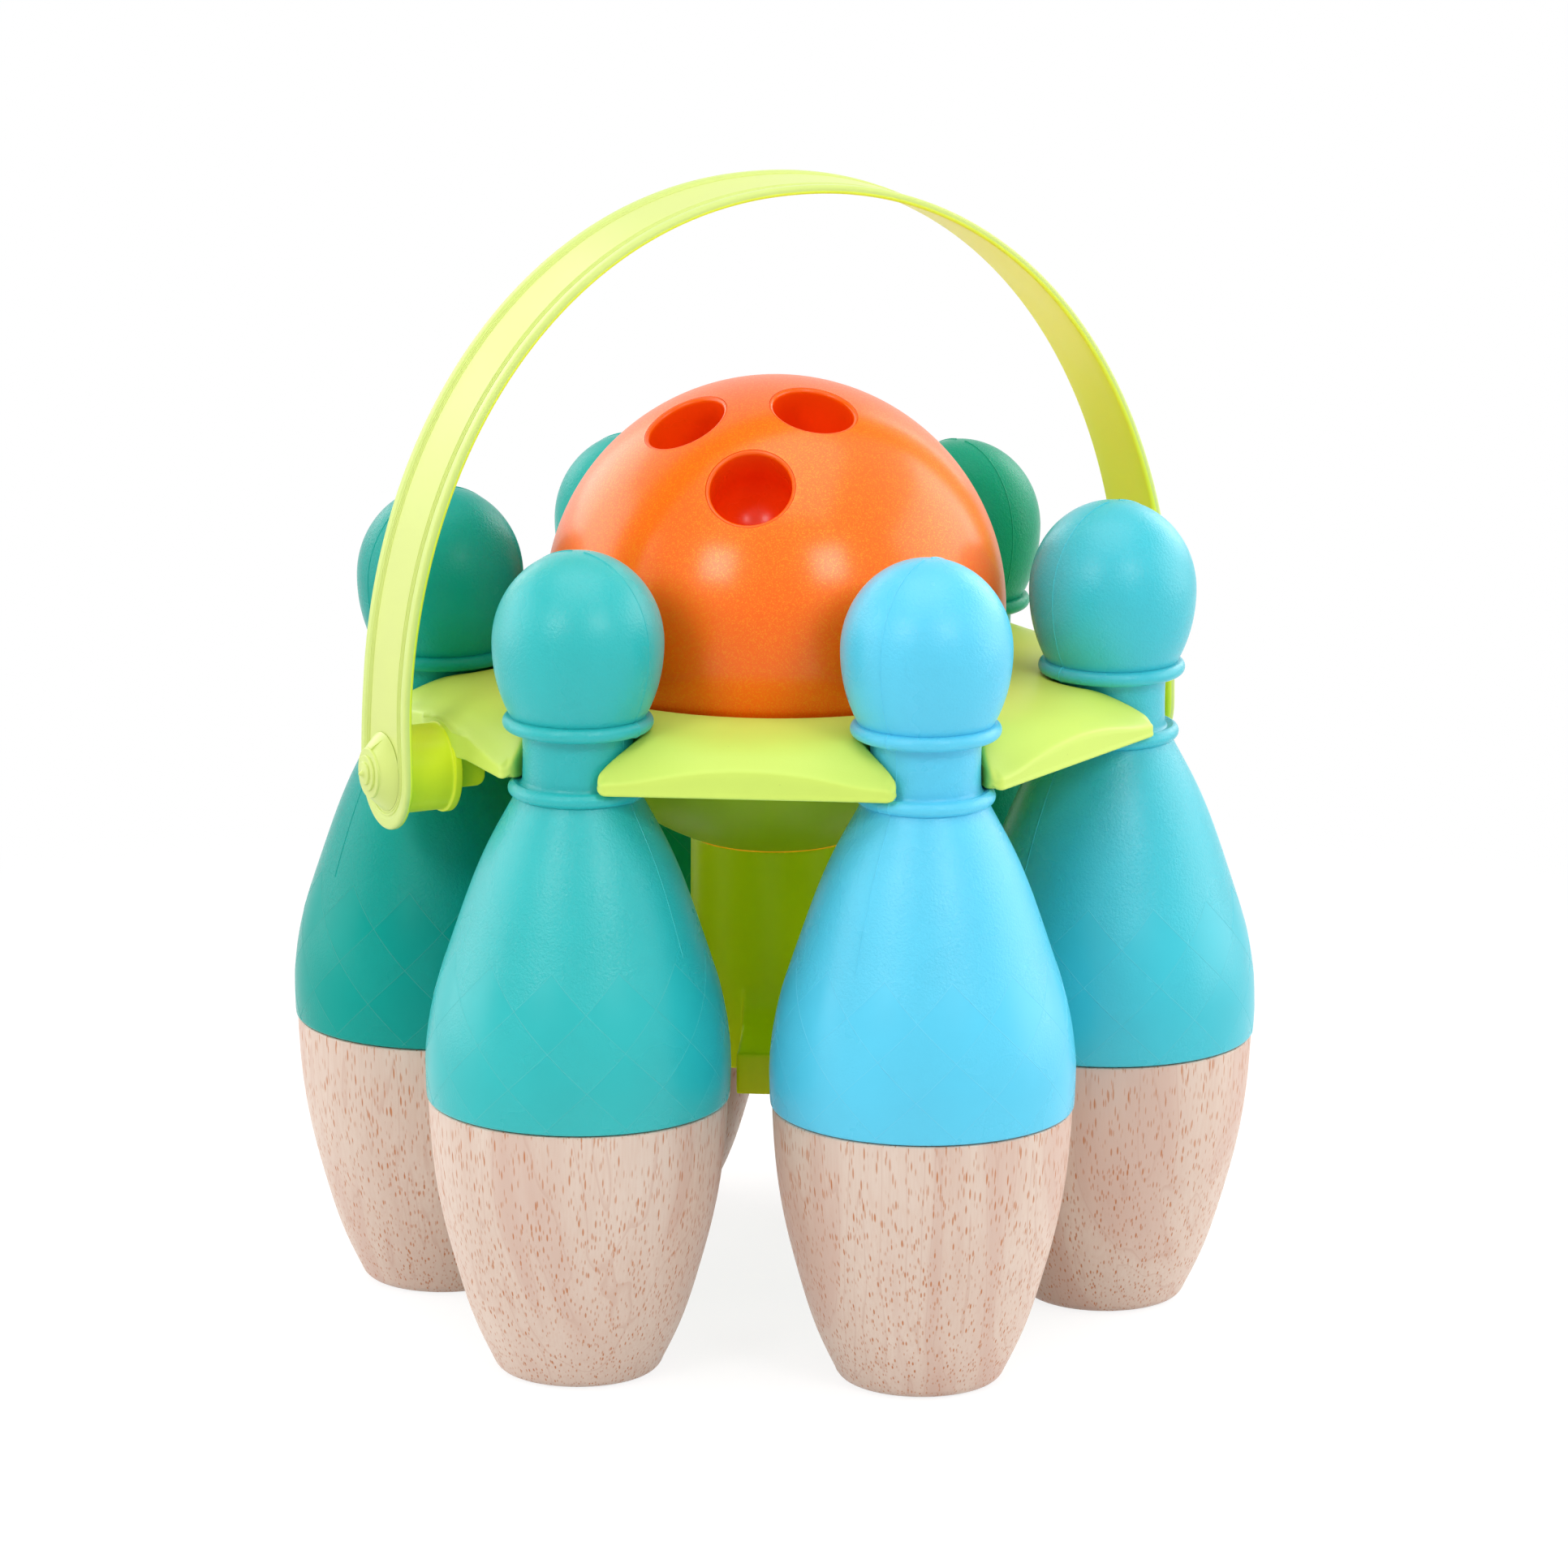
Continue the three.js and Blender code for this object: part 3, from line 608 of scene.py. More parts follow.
def build_diamond_group():
    """Lozenge cells round an upright axis: 1 in the smooth ones, 0 elsewhere."""
    tree, source, sink = shader_group(
        "Pressed diamonds",
        [
            ("Vector", "NodeSocketVector", None),
            ("Turn", "NodeSocketFloat", 0.0),
            ("Count", "NodeSocketFloat", float(DIAMOND_COUNT)),
            ("Middle", "NodeSocketFloat", DIAMOND_TOP - DIAMOND_HEIGHT / 2),
            ("Height", "NodeSocketFloat", DIAMOND_HEIGHT),
        ],
        [("Smooth", "NodeSocketFloat"), ("Band", "NodeSocketFloat")],
    )
    parts = split(tree, source.outputs["Vector"])
    angle = maths(tree, "ARCTAN2", parts["Y"], parts["X"])
    around = maths(
        tree, "MULTIPLY", maths(tree, "SUBTRACT", angle, source.outputs["Turn"]), source.outputs["Count"]
    )
    around = maths(tree, "DIVIDE", around, 2 * math.pi)
    up = maths(tree, "SUBTRACT", parts["Z"], source.outputs["Middle"])
    up = maths(tree, "DIVIDE", up, source.outputs["Height"])
    first = maths(tree, "ROUND", maths(tree, "ADD", around, up))
    second = maths(tree, "ROUND", maths(tree, "SUBTRACT", around, up))
    row = maths(tree, "SUBTRACT", first, second)
    even = maths(tree, "LESS_THAN", maths(tree, "PINGPONG", row, 1.0), 0.5)
    band = maths(tree, "LESS_THAN", row, 0.5)
    tree.links.new(maths(tree, "MULTIPLY", even, band), sink.inputs["Smooth"])
    tree.links.new(band, sink.inputs["Band"])
    return tree


def build_handling_group():
    """Slow change of tone and gloss from moulding and handling."""
    tree, source, sink = shader_group(
        "Handling",
        [("Vector", "NodeSocketVector", None), ("Size", "NodeSocketFloat", 18.0)],
        [("Cloud", "NodeSocketFloat"), ("Speck", "NodeSocketFloat")],
    )
    scale = maths(tree, "DIVIDE", 1.0, source.outputs["Size"])
    cloud = noise(tree, source.outputs["Vector"], scale, 3.0)
    dust = add_node(tree, "ShaderNodeTexVoronoi", {"Vector": source.outputs["Vector"], "Scale": 0.16})
    speck = ramp(tree, dust.outputs["Distance"], 0.02, 0.045, 1.0, 0.0)
    tree.links.new(cloud, sink.inputs["Cloud"])
    tree.links.new(speck, sink.inputs["Speck"])
    return tree


def build_sand_group():
    """Fine sand-blasted face of a mould, as a height."""
    tree, source, sink = shader_group(
        "Sanded face",
        [("Vector", "NodeSocketVector", None), ("Size", "NodeSocketFloat", 0.35)],
        [("Height", "NodeSocketFloat")],
    )
    scale = maths(tree, "DIVIDE", 1.0, source.outputs["Size"])
    tree.links.new(noise(tree, source.outputs["Vector"], scale, 2.0), sink.inputs["Height"])
    return tree


def build_wood_group():
    """Pale turned wood with open pores: colour, pore mask and height."""
    tree, source, sink = shader_group(
        "Turned pale wood",
        [("Vector", "NodeSocketVector", None)],
        [("Color", "NodeSocketColor"), ("Pores", "NodeSocketFloat"), ("Height", "NodeSocketFloat")],
    )
    vector = source.outputs["Vector"]

    def stretched(across, along):
        """Vector for a pattern of a size across the grain and a length along it, in millimetres."""
        inputs = {"Vector": vector, "Scale": (1 / across, 1 / across, 1 / along)}
        return add_node(tree, "ShaderNodeMapping", inputs).outputs[0]

    lean = {"Vector": vector, "Rotation": (0.06, 0.1, 0), "Scale": (0.085, 0.03, 0.004)}
    bands = noise(tree, add_node(tree, "ShaderNodeMapping", lean).outputs[0], 1.0, 2.5, Roughness=0.55)
    fibre = noise(tree, stretched(0.6, 30), 1.0, 4.0)
    cloud = noise(tree, stretched(11, 45), 1.0, 2.0)
    base = blend_colour(tree, cloud, (0.8, 0.665, 0.565), (0.69, 0.51, 0.415))
    rosy = ramp(tree, bands, 0.47, 0.62, 0.0, 0.55)
    base = blend_colour(tree, rosy, base, (0.63, 0.4, 0.32))
    step = maths(tree, "FRACT", maths(tree, "MULTIPLY", bands, 9.0))
    line = maths(tree, "MULTIPLY", ramp(tree, step, 0.86, 0.97), ramp(tree, step, 0.97, 1.0, 1.0, 0.0))
    base = blend_colour(tree, maths(tree, "MULTIPLY", line, 0.42), base, (0.6, 0.36, 0.27))
    thread = ramp(tree, fibre, 0.35, 0.7, 0.0, 0.3)
    base = blend_colour(tree, thread, base, (0.68, 0.46, 0.35))

    def pores(across, along, low, high, share):
        """Mask of short pores, with a share of them left out and the rest of many depths."""
        inputs = {"Vector": stretched(across, along), "Scale": 1.0, "Randomness": 1.0}
        cells = add_node(tree, "ShaderNodeTexVoronoi", inputs)
        dot = ramp(tree, cells.outputs["Distance"], low, high, 1.0, 0.0)
        pick = add_node(tree, "ShaderNodeSeparateColor", {0: cells.outputs["Color"]})
        kept = maths(tree, "GREATER_THAN", pick.outputs[0], share)
        depth = maths(tree, "MULTIPLY_ADD", pick.outputs[1], 0.5, 0.5)
        return maths(tree, "MULTIPLY", maths(tree, "MULTIPLY", dot, kept), depth)

    coarse = pores(0.9, 7.0, 0.16, 0.32, 0.12)
    small = pores(0.75, 5.0, 0.15, 0.32, 0.15)
    both = maths(tree, "MAXIMUM", coarse, maths(tree, "MULTIPLY", small, 0.75))
    colour = blend_colour(tree, maths(tree, "MULTIPLY", both, 0.95), base, (0.54, 0.18, 0.05))
    tree.links.new(colour, sink.inputs["Color"])
    tree.links.new(both, sink.inputs["Pores"])
    height = maths(tree, "MULTIPLY_ADD", both, -1.0, maths(tree, "MULTIPLY", fibre, 0.25))
    tree.links.new(height, sink.inputs["Height"])
    return tree


effect_builders = {
    "Leather grain": build_leather_group,
    "Pressed diamonds": build_diamond_group,
    "Handling": build_handling_group,
    "Sanded face": build_sand_group,
    "Turned pale wood": build_wood_group,
}


def use_effect(tree, name, vector, **values):
    """Outputs of an effect's shader group, which is built on its first use, with values for its inputs."""
    group = bpy.data.node_groups.get(name) or effect_builders[name]()
    return add_node(tree, "ShaderNodeGroup", {"Vector": vector, **values}, node_tree=group).outputs


def start_material(name, centre=(0, 0, 0), turn=0.0):
    """Material with a Principled shader, and Object coordinates in millimetres about a centre."""
    material = bpy.data.materials.new(name)
    material.use_nodes = True
    tree = material.node_tree
    shader = tree.nodes["Principled BSDF"]
    place = tree.nodes.new("ShaderNodeTexCoord")
    centred = add_node(
        tree,
        "ShaderNodeMapping",
        {"Vector": place.outputs["Object"], "Location": [-c for c in centre], "Scale": (1 / MM,) * 3},
    )
    vector = centred.outputs[0]
    if turn:
        vector = add_node(tree, "ShaderNodeMapping", {"Vector": vector, "Rotation": (0, 0, turn)}).outputs[0]
    return material, tree, shader, vector


def set_shine(shader, level=PLASTIC_SHINE):
    """Sets the strength of the mirror part of a plastic."""
    shader.inputs["Specular IOR Level"].default_value = level


def bump(tree, height, depth, shader, strength=1.0):
    """Relief of the shader's surface from heights of 0 to 1, with its depth in metres."""
    inputs = {"Height": height, "Distance": depth, "Strength": strength}
    node = add_node(tree, "ShaderNodeBump", inputs)
    tree.links.new(node.outputs[0], shader.inputs["Normal"])


def scaled(colour, factor):
    """Colour made darker or brighter."""
    return tuple(c * factor for c in colour)


def mixed(first, second, share):
    """Colour that holds a share of the second colour and the rest of the first."""
    return tuple(a + (b - a) * share for a, b in zip(first, second))


def diamond_edge_highlight_material(k):
    """Plastic of the thin edges of one pin's diamonds, painted a little paler than the rest as a highlight on
    the ridges.
    """
    material, tree, shader, vector = start_material(f"{pin_slots[k]} plastic edges")
    wear = use_effect(tree, "Handling", vector, Size=9.0)
    # Painted highlight: the pin's colour mixed a little towards white
    pale = mixed(pin_colours[k], (0.9, 0.95, 0.95), 0.07)
    shade = blend_colour(tree, wear["Cloud"], mixed(pin_colours[k], pale, 0.2), pale)
    tree.links.new(shade, shader.inputs["Base Color"])
    tree.links.new(ramp(tree, wear["Cloud"], 0.3, 0.7, 0.4, 0.5), shader.inputs["Roughness"])
    set_shine(shader, pin_shine[k])
    return material


def pin_material(k, settings):
    """Grained plastic of one pin's shell, with its band of pressed diamonds."""
    centre = (pin_places[k].x, pin_places[k].y, 0)
    material, tree, shader, vector = start_material(f"{pin_slots[k]} grained plastic", centre)
    grain = use_effect(tree, "Leather grain", vector, Size=0.62)
    sand = use_effect(tree, "Sanded face", vector, Size=0.45)
    press = use_effect(tree, "Pressed diamonds", vector, Turn=math.radians(pin_diamond_turns[k]))
    wear = use_effect(tree, "Handling", vector, Size=22.0)
    colour = pin_colours[k]
    shade = blend_colour(tree, wear["Cloud"], scaled(colour, 0.93), scaled(colour, 1.06))
    worn = maths(tree, "MULTIPLY", wear["Speck"], 0.16)
    shade = blend_colour(tree, worn, shade, scaled(colour, 0.45))
    rough_cell = maths(tree, "MULTIPLY", maths(tree, "SUBTRACT", 1.0, press["Smooth"]), 0.006)
    shade = blend_colour(tree, rough_cell, shade, (0.8, 0.8, 0.8))
    tree.links.new(shade, shader.inputs["Base Color"])
    gloss = ramp(tree, wear["Cloud"], 0.3, 0.7, 0.25, 0.3)
    gloss = maths(tree, "MULTIPLY_ADD", press["Smooth"], 0.04, gloss)
    tree.links.new(gloss, shader.inputs["Roughness"])
    pressed = maths(tree, "MULTIPLY", press["Band"], maths(tree, "SUBTRACT", 1.0, press["Smooth"]))
    above = maths(tree, "SUBTRACT", 1.0, press["Band"])
    coarse = maths(tree, "MULTIPLY", grain["Height"], maths(tree, "MULTIPLY_ADD", pressed, 0.35, above))
    fine = maths(tree, "MULTIPLY", sand["Height"], maths(tree, "MULTIPLY_ADD", pressed, 0.6, 0.12))
    bump(tree, maths(tree, "ADD", coarse, fine), settings.grain, shader)
    set_shine(shader, pin_shine[k])
    return material


def wood_material(k):
    """Turned pale wood of one pin's base, cut from its own place in the grain."""
    centre = (pin_places[k].x, pin_places[k].y, 0)
    material, tree, shader, vector = start_material(f"pale wood {k + 1}", centre, turn=0.9 * k + 0.4)
    shifted = add_node(
        tree, "ShaderNodeMapping", {"Vector": vector, "Location": (7.0 * k, 4.0 * k, 83.0 * k)}
    )
    wood = use_effect(tree, "Turned pale wood", shifted.outputs[0])
    tree.links.new(wood["Color"], shader.inputs["Base Color"])
    tree.links.new(ramp(tree, wood["Pores"], 0.0, 1.0, 0.42, 0.75), shader.inputs["Roughness"])
    bump(tree, wood["Height"], 0.08 * MM, shader, 0.7)
    return material


def pearl_material(colour):
    """Pearlescent orange of the ball's shells."""
    material, tree, shader, vector = start_material("pearl orange plastic", BALL_PLACE)
    flake = add_node(tree, "ShaderNodeTexVoronoi", {"Vector": vector, "Scale": 4.4})
    pick = add_node(tree, "ShaderNodeSeparateColor", {0: flake.outputs["Color"]})
    glint = ramp(tree, pick.outputs[0], 0.6, 1.0, 0.0, 1.0)
    wear = use_effect(tree, "Handling", vector, Size=24.0)
    shade = blend_colour(tree, wear["Cloud"], scaled(colour, 0.96), scaled(colour, 1.03))
    shade = blend_colour(tree, maths(tree, "MULTIPLY", glint, 0.5), shade, FLAKE_ORANGE)
    worn = maths(tree, "MULTIPLY", wear["Speck"], 0.25)
    shade = blend_colour(tree, worn, shade, SPECK_ORANGE)
    tree.links.new(shade, shader.inputs["Base Color"])
    tree.links.new(maths(tree, "MULTIPLY_ADD", glint, 0.2, 0.02), shader.inputs["Metallic"])
    tree.links.new(maths(tree, "MULTIPLY_ADD", glint, -0.08, 0.42), shader.inputs["Roughness"])
    sand = use_effect(tree, "Sanded face", vector, Size=0.4)
    height = maths(tree, "MULTIPLY_ADD", pick.outputs[1], 0.5, sand["Height"])
    bump(tree, height, 0.02 * MM, shader, 0.5)
    set_shine(shader, PEARL_SHINE)
    shader.inputs["Specular Tint"].default_value = PEARL_TINT
    shader.inputs["Coat Weight"].default_value = 0.32
    shader.inputs["Coat IOR"].default_value = 1.8
    shader.inputs["Coat Roughness"].default_value = 0.22
    return material


def cup_material(colour, lip):
    """Deeper orange of the finger cups, with lips of the shells' colour."""
    material, tree, shader, vector = start_material("cup orange plastic", BALL_PLACE)
    wear = use_effect(tree, "Handling", vector, Size=14.0)
    shade = blend_colour(tree, wear["Cloud"], scaled(colour, 0.93), scaled(colour, 1.05))
    deep = BALL_RADIUS - CUP_TONE_DEPTH
    shade = blend_colour(tree, ramp(tree, vector_length(tree, vector), deep, deep + 1), shade, lip)
    tree.links.new(shade, shader.inputs["Base Color"])
    sand = use_effect(tree, "Sanded face", vector, Size=0.6)
    tree.links.new(ramp(tree, wear["Cloud"], 0.3, 0.7, 0.24, 0.34), shader.inputs["Roughness"])
    bump(tree, sand["Height"], 0.03 * MM, shader, 0.7)
    set_shine(shader)
    return material


def strap_edge_mask(tree, vector):
    """1 in the strap's thin ribbed edge and round its ends, 0 in its field."""
    parts = split(tree, vector)
    drop = maths(tree, "MINIMUM", maths(tree, "SUBTRACT", parts["Z"], PIVOT_HEIGHT), 0.0)
    flat = add_node(tree, "ShaderNodeCombineXYZ", {"X": parts["Y"], "Y": drop}).outputs[0]
    return ramp(tree, vector_length(tree, flat), EDGE_FIELD, EDGE_FIELD + EDGE_BLEND)


def strap_inside_mask(tree, vector):
    """1 on the inner face of the strap's arch, where its painted light goes, 0 on its outer face."""
    parts = split(tree, vector)
    straight = PIVOT_HEIGHT + STRAP_STRAIGHT
    rise = STRAP_TOP - STRAP_THICKNESS / 2 - straight
    up = maths(tree, "DIVIDE", maths(tree, "SUBTRACT", parts["Z"], straight), rise)
    up = maths(tree, "MAXIMUM", up, 0.0)
    aside = maths(tree, "DIVIDE", maths(tree, "ABSOLUTE", parts["X"]), STRAP_FACE - STRAP_THICKNESS / 2)
    whole = maths(
        tree, "ADD", maths(tree, "POWER", up, CROWN_POWER), maths(tree, "POWER", aside, CROWN_POWER)
    )
    return ramp(tree, whole, 0.993, 0.999, 1.0, 0.0)


def lime_material(name, colour, sand_size, rough, below=None, edge=None, seam=None, sand_depth=0.03):
    """Sanded lime plastic, with a painted darker shade below the rim, another colour at the strap's edge with
    painted light on its inner face, or a painted orange glow along a seam.
    """
    material, tree, shader, vector = start_material(name)
    sand = use_effect(tree, "Sanded face", vector, Size=sand_size)
    wear = use_effect(tree, "Handling", vector, Size=26.0)
    shade = blend_colour(tree, wear["Cloud"], scaled(colour, 0.95), scaled(colour, 1.04))
    shade = blend_colour(tree, maths(tree, "MULTIPLY", wear["Speck"], 0.2), shade, scaled(colour, 0.5))
    # Painted shade: below the rim the colour turns to a darker, fuller lime
    if below:
        up = split(tree, vector)["Z"]
        deep = ramp(tree, up, TRAY_BOTTOM - SKIRT_SHADE_DEPTH, TRAY_BOTTOM - 0.5, 1.0, 0.0)
        shade = blend_colour(tree, deep, shade, below)
    # Painted light: a thin orange line at the seam that glows, standing in for the ball's light through the
    # joint
    if seam:
        line = ramp(tree, split(tree, vector)["Z"], seam - 0.08, seam + 0.08)
        shade = blend_colour(tree, line, shade, PAINTED_SEAM_LIGHT)
        tree.links.new(blend_colour(tree, line, (0, 0, 0), PAINTED_SEAM_GLOW), shader.inputs["Emission Color"])
        shader.inputs["Emission Strength"].default_value = 0.8
    height = sand["Height"]
    if edge:
        thin = strap_edge_mask(tree, vector)
        shade = blend_colour(tree, thin, shade, edge)
        # Painted light: the inner face turns to a fuller yellow, for light shining through the strap
        inside = maths(tree, "MULTIPLY", strap_inside_mask(tree, vector), 0.85)
        shade = blend_colour(tree, inside, shade, STRAP_INSIDE_PAINTED_LIGHT)
        height = maths(tree, "MULTIPLY", height, maths(tree, "SUBTRACT", 1.0, thin))
    tree.links.new(shade, shader.inputs["Base Color"])
    gloss = ramp(tree, wear["Cloud"], 0.3, 0.7, rough - 0.03, rough + 0.05)
    tree.links.new(gloss, shader.inputs["Roughness"])
    bump(tree, height, sand_depth * MM, shader, 0.6)
    set_shine(shader, COLUMN_SHINE if seam else PLASTIC_SHINE)
    return material


# Geometry Nodes


def geometry_group(name, inputs):
    """Empty Geometry Nodes tree with named inputs, its input node and its output node."""
    tree = bpy.data.node_groups.new(name, "GeometryNodeTree")
    tree.interface.new_socket("Geometry", in_out="INPUT", socket_type="NodeSocketGeometry")
    for label, kind, value in inputs:
        socket = tree.interface.new_socket(label, in_out="INPUT", socket_type=kind)
        if value is not None:
            socket.default_value = value
    tree.interface.new_socket("Geometry", in_out="OUTPUT", socket_type="NodeSocketGeometry")
    return tree, tree.nodes.new("NodeGroupInput"), tree.nodes.new("NodeGroupOutput")


def finish_tree(tree, source, sink, geometry):
    """Ends a tree in Realize Instances, smooth shading and Set Material."""
    real = add_node(tree, "GeometryNodeRealizeInstances", {"Geometry": geometry})
    smooth = add_node(tree, "GeometryNodeSetShadeSmooth", {"Geometry": real.outputs[0]})
    inputs = {"Geometry": smooth.outputs[0], "Material": source.outputs["Material"]}
    painted = add_node(tree, "GeometryNodeSetMaterial", inputs)
    tree.links.new(painted.outputs[0], sink.inputs[0])


def swept(tree, curve, radius, sides):
    """Closed bead of a radius along a curve."""
    ring = add_node(tree, "GeometryNodeCurvePrimitiveCircle", {"Resolution": sides, "Radius": radius})
    sweep = add_node(tree, "GeometryNodeCurveToMesh", {"Curve": curve, "Profile Curve": ring.outputs[0]})
    sweep.inputs["Fill Caps"].default_value = True
    return sweep.outputs[0]


def around_axis(tree, geometry, count, first_turn):
    """Copies of a geometry turned about +Z, and moved to no other place."""
    points = add_node(tree, "GeometryNodeMeshLine", {"Count": count, "Offset": (0, 0, 0)})
    index = tree.nodes.new("GeometryNodeInputIndex")
    step = maths(tree, "DIVIDE", 2 * math.pi, count)
    turn = maths(tree, "MULTIPLY_ADD", index.outputs[0], step, first_turn)
    rotation = add_node(tree, "ShaderNodeCombineXYZ", {"Z": turn})
    inputs = {"Points": points.outputs[0], "Instance": geometry, "Rotation": rotation.outputs[0]}
    return add_node(tree, "GeometryNodeInstanceOnPoints", inputs).outputs[0]


def build_mould_line_tree():
    """Parting lines: a thin bead up the outline, on both sides of the axis."""
    tree, source, sink = geometry_group(
        "Parting lines",
        [
            ("Radius", "NodeSocketFloat", MOULD_LINE * MM),
            ("Count", "NodeSocketInt", 2),
            ("Turn", "NodeSocketFloat", 0.0),
            ("Material", "NodeSocketMaterial", None),
        ],
    )
    curve = add_node(tree, "GeometryNodeMeshToCurve", {"Mesh": source.outputs["Geometry"]})
    bead = swept(tree, curve.outputs[0], source.outputs["Radius"], 6)
    copies = around_axis(tree, bead, source.outputs["Count"], source.outputs["Turn"])
    finish_tree(tree, source, sink, copies)
    return tree


def build_diamond_line_tree():
    """Edges of the pressed diamonds: beads that wind up the outline both ways."""
    tree, source, sink = geometry_group(
        "Diamond edges",
        [
            ("Radius", "NodeSocketFloat", DIAMOND_LINE * MM),
            ("Count", "NodeSocketInt", DIAMOND_COUNT),
            ("Turn", "NodeSocketFloat", 0.0),
            ("Top", "NodeSocketFloat", DIAMOND_TOP * MM),
            ("Wind", "NodeSocketFloat", 2 * math.pi / DIAMOND_COUNT / (DIAMOND_HEIGHT * MM)),
            ("Material", "NodeSocketMaterial", None),
        ],
    )
    curve = add_node(tree, "GeometryNodeMeshToCurve", {"Mesh": source.outputs["Geometry"]})
    place = tree.nodes.new("GeometryNodeInputPosition")
    below = maths(tree, "SUBTRACT", source.outputs["Top"], split(tree, place.outputs[0])["Z"])
    both = tree.nodes.new("GeometryNodeJoinGeometry")
    for side in (-1.0, 1.0):
        angle = maths(tree, "MULTIPLY", maths(tree, "MULTIPLY", below, source.outputs["Wind"]), side)
        inputs = {"Vector": place.outputs[0], "Axis": (0, 0, 1), "Angle": angle}
        turned = add_node(tree, "ShaderNodeVectorRotate", inputs, rotation_type="AXIS_ANGLE")
        inputs = {"Geometry": curve.outputs[0], "Position": turned.outputs[0]}
        wound = add_node(tree, "GeometryNodeSetPosition", inputs)
        tree.links.new(swept(tree, wound.outputs[0], source.outputs["Radius"], 5), both.inputs[0])
    copies = around_axis(tree, both.outputs[0], source.outputs["Count"], source.outputs["Turn"])
    finish_tree(tree, source, sink, copies)
    return tree


def build_rib_tree():
    """Fine ribs that follow the strap's edge."""
    tree, source, sink = geometry_group(
        "Strap ribs",
        [("Radius", "NodeSocketFloat", RIB_ROUND * MM), ("Material", "NodeSocketMaterial", None)],
    )
    curve = add_node(tree, "GeometryNodeMeshToCurve", {"Mesh": source.outputs["Geometry"]})
    finish_tree(tree, source, sink, swept(tree, curve.outputs[0], source.outputs["Radius"], 8))
    return tree


def polyline(name, points, closed=False):
    """Mesh of edges through points in millimetres."""
    mesh = bpy.data.meshes.new(name)
    count = len(points)
    edges = [(i, (i + 1) % count) for i in range(count if closed else count - 1)]
    mesh.from_pydata([tuple(c * MM for c in p) for p in points], edges, [])
    return mesh


# Pins


def body_curve(belly):
    """Radius of a pin's body as a function of its height."""
    share = smooth_curve(body_height_shares, body_radius_shares)
    return lambda height: belly * float(share(height / NECK_HEIGHT))


def pin_outside(settings):
    """Outline of a pin's shell from the split up to the top of the head."""
    belly, neck, head = settings.belly / MM, settings.neck / MM, settings.head / MM
    body = body_curve(belly)
    upper = NECK_HEIGHT + NECK_LENGTH
    points = arc(
        body(SPLIT_HEIGHT) - EDGE_ROUND, SPLIT_HEIGHT + EDGE_ROUND, EDGE_ROUND, EDGE_ROUND, -90, 0, 5
    )
    shoulder = NECK_HEIGHT - RING_ROUND
    for height in np.linspace(SPLIT_HEIGHT + 2 * EDGE_ROUND, shoulder, 62):
        points.append((body(height), height))
    ring = LOWER_RING_RADIUS - RING_ROUND
    points += arc(ring, NECK_HEIGHT, RING_ROUND, RING_ROUND, -62, 78, 12)
    low = NECK_HEIGHT + RING_ROUND + NECK_FILLET * 0.8
    high = upper - RING_ROUND - NECK_FILLET * 0.6
    points += arc(neck + NECK_FILLET, low, NECK_FILLET, NECK_FILLET * 1.4, 250, 180, 6)
    for t in np.linspace(0.12, 0.88, 8):
        points.append((neck - NECK_WAIST * math.sin(math.pi * t), low + (high - low) * t))
    points += arc(neck + NECK_FILLET, high, NECK_FILLET, NECK_FILLET, 180, 110, 6)
    points += arc(UPPER_RING_RADIUS - RING_ROUND, upper, RING_ROUND, RING_ROUND, -80, 66, 12)
    centre = upper + HEAD_LIFT
    start = -math.degrees(math.asin((HEAD_LIFT - RING_ROUND + 0.1) / HEAD_TAPER))
    points += arc(0, centre, head, HEAD_TAPER, start, 0, 22)
    points += arc(0, centre, head, HEAD_RISE, 0, 90, 34)[1:]
    points[-1] = (0.0, points[-1][1])
    return points


def shell_outline(outside, settings):
    """Closed outline of a pin's hollow shell."""
    belly, neck, head = settings.belly / MM, settings.neck / MM, settings.head / MM
    body = body_curve(belly)
    upper = NECK_HEIGHT + NECK_LENGTH
    inside = arc(0, upper + HEAD_LIFT, head - SHELL_WALL, HEAD_RISE - SHELL_WALL, 90, 0, 14)
    inside[0] = (0.0, inside[0][1])
    inside += [(neck - SHELL_WALL, upper), (neck - SHELL_WALL, NECK_HEIGHT)]
    for height in np.linspace(NECK_HEIGHT - NECK_LENGTH, SPLIT_HEIGHT + TENON_HEIGHT, 12):
        inside.append((body(height) - SHELL_WALL, height))
    inside.append((body(SPLIT_HEIGHT) - SHELL_WALL, SPLIT_HEIGHT))
    return [*outside, *inside, outside[0]]


def base_outline(settings):
    """Outline of the turned wooden base, with its foot, its top edge and its tenon."""
    body = body_curve(settings.belly / MM)
    top = SPLIT_HEIGHT - TENON_GAP
    tenon = body(SPLIT_HEIGHT) - SHELL_WALL - TENON_GAP
    taper = math.radians(FOOT_TAPER)
    side = FOOT_ROUND * (1 - math.sin(taper))
    foot = settings.foot / MM
    reach = (body(side) - foot) / math.cos(taper)
    points = [(0.0, 0.0), *arc(foot, FOOT_ROUND, reach, FOOT_ROUND, -90, -FOOT_TAPER, 12)]
    for height in np.linspace(side, top - WOOD_CHAMFER, 48)[1:]:
        points.append((body(height) - WOOD_INSET * height / top, height))
    rim = points[-1][0]
    points += arc(rim - WOOD_CHAMFER, top - WOOD_CHAMFER, WOOD_CHAMFER, WOOD_CHAMFER, 0, 90, 5)[1:]
    end = SPLIT_HEIGHT + TENON_HEIGHT - 1
    return points + [(tenon, top), (tenon, end), (0.0, end)]


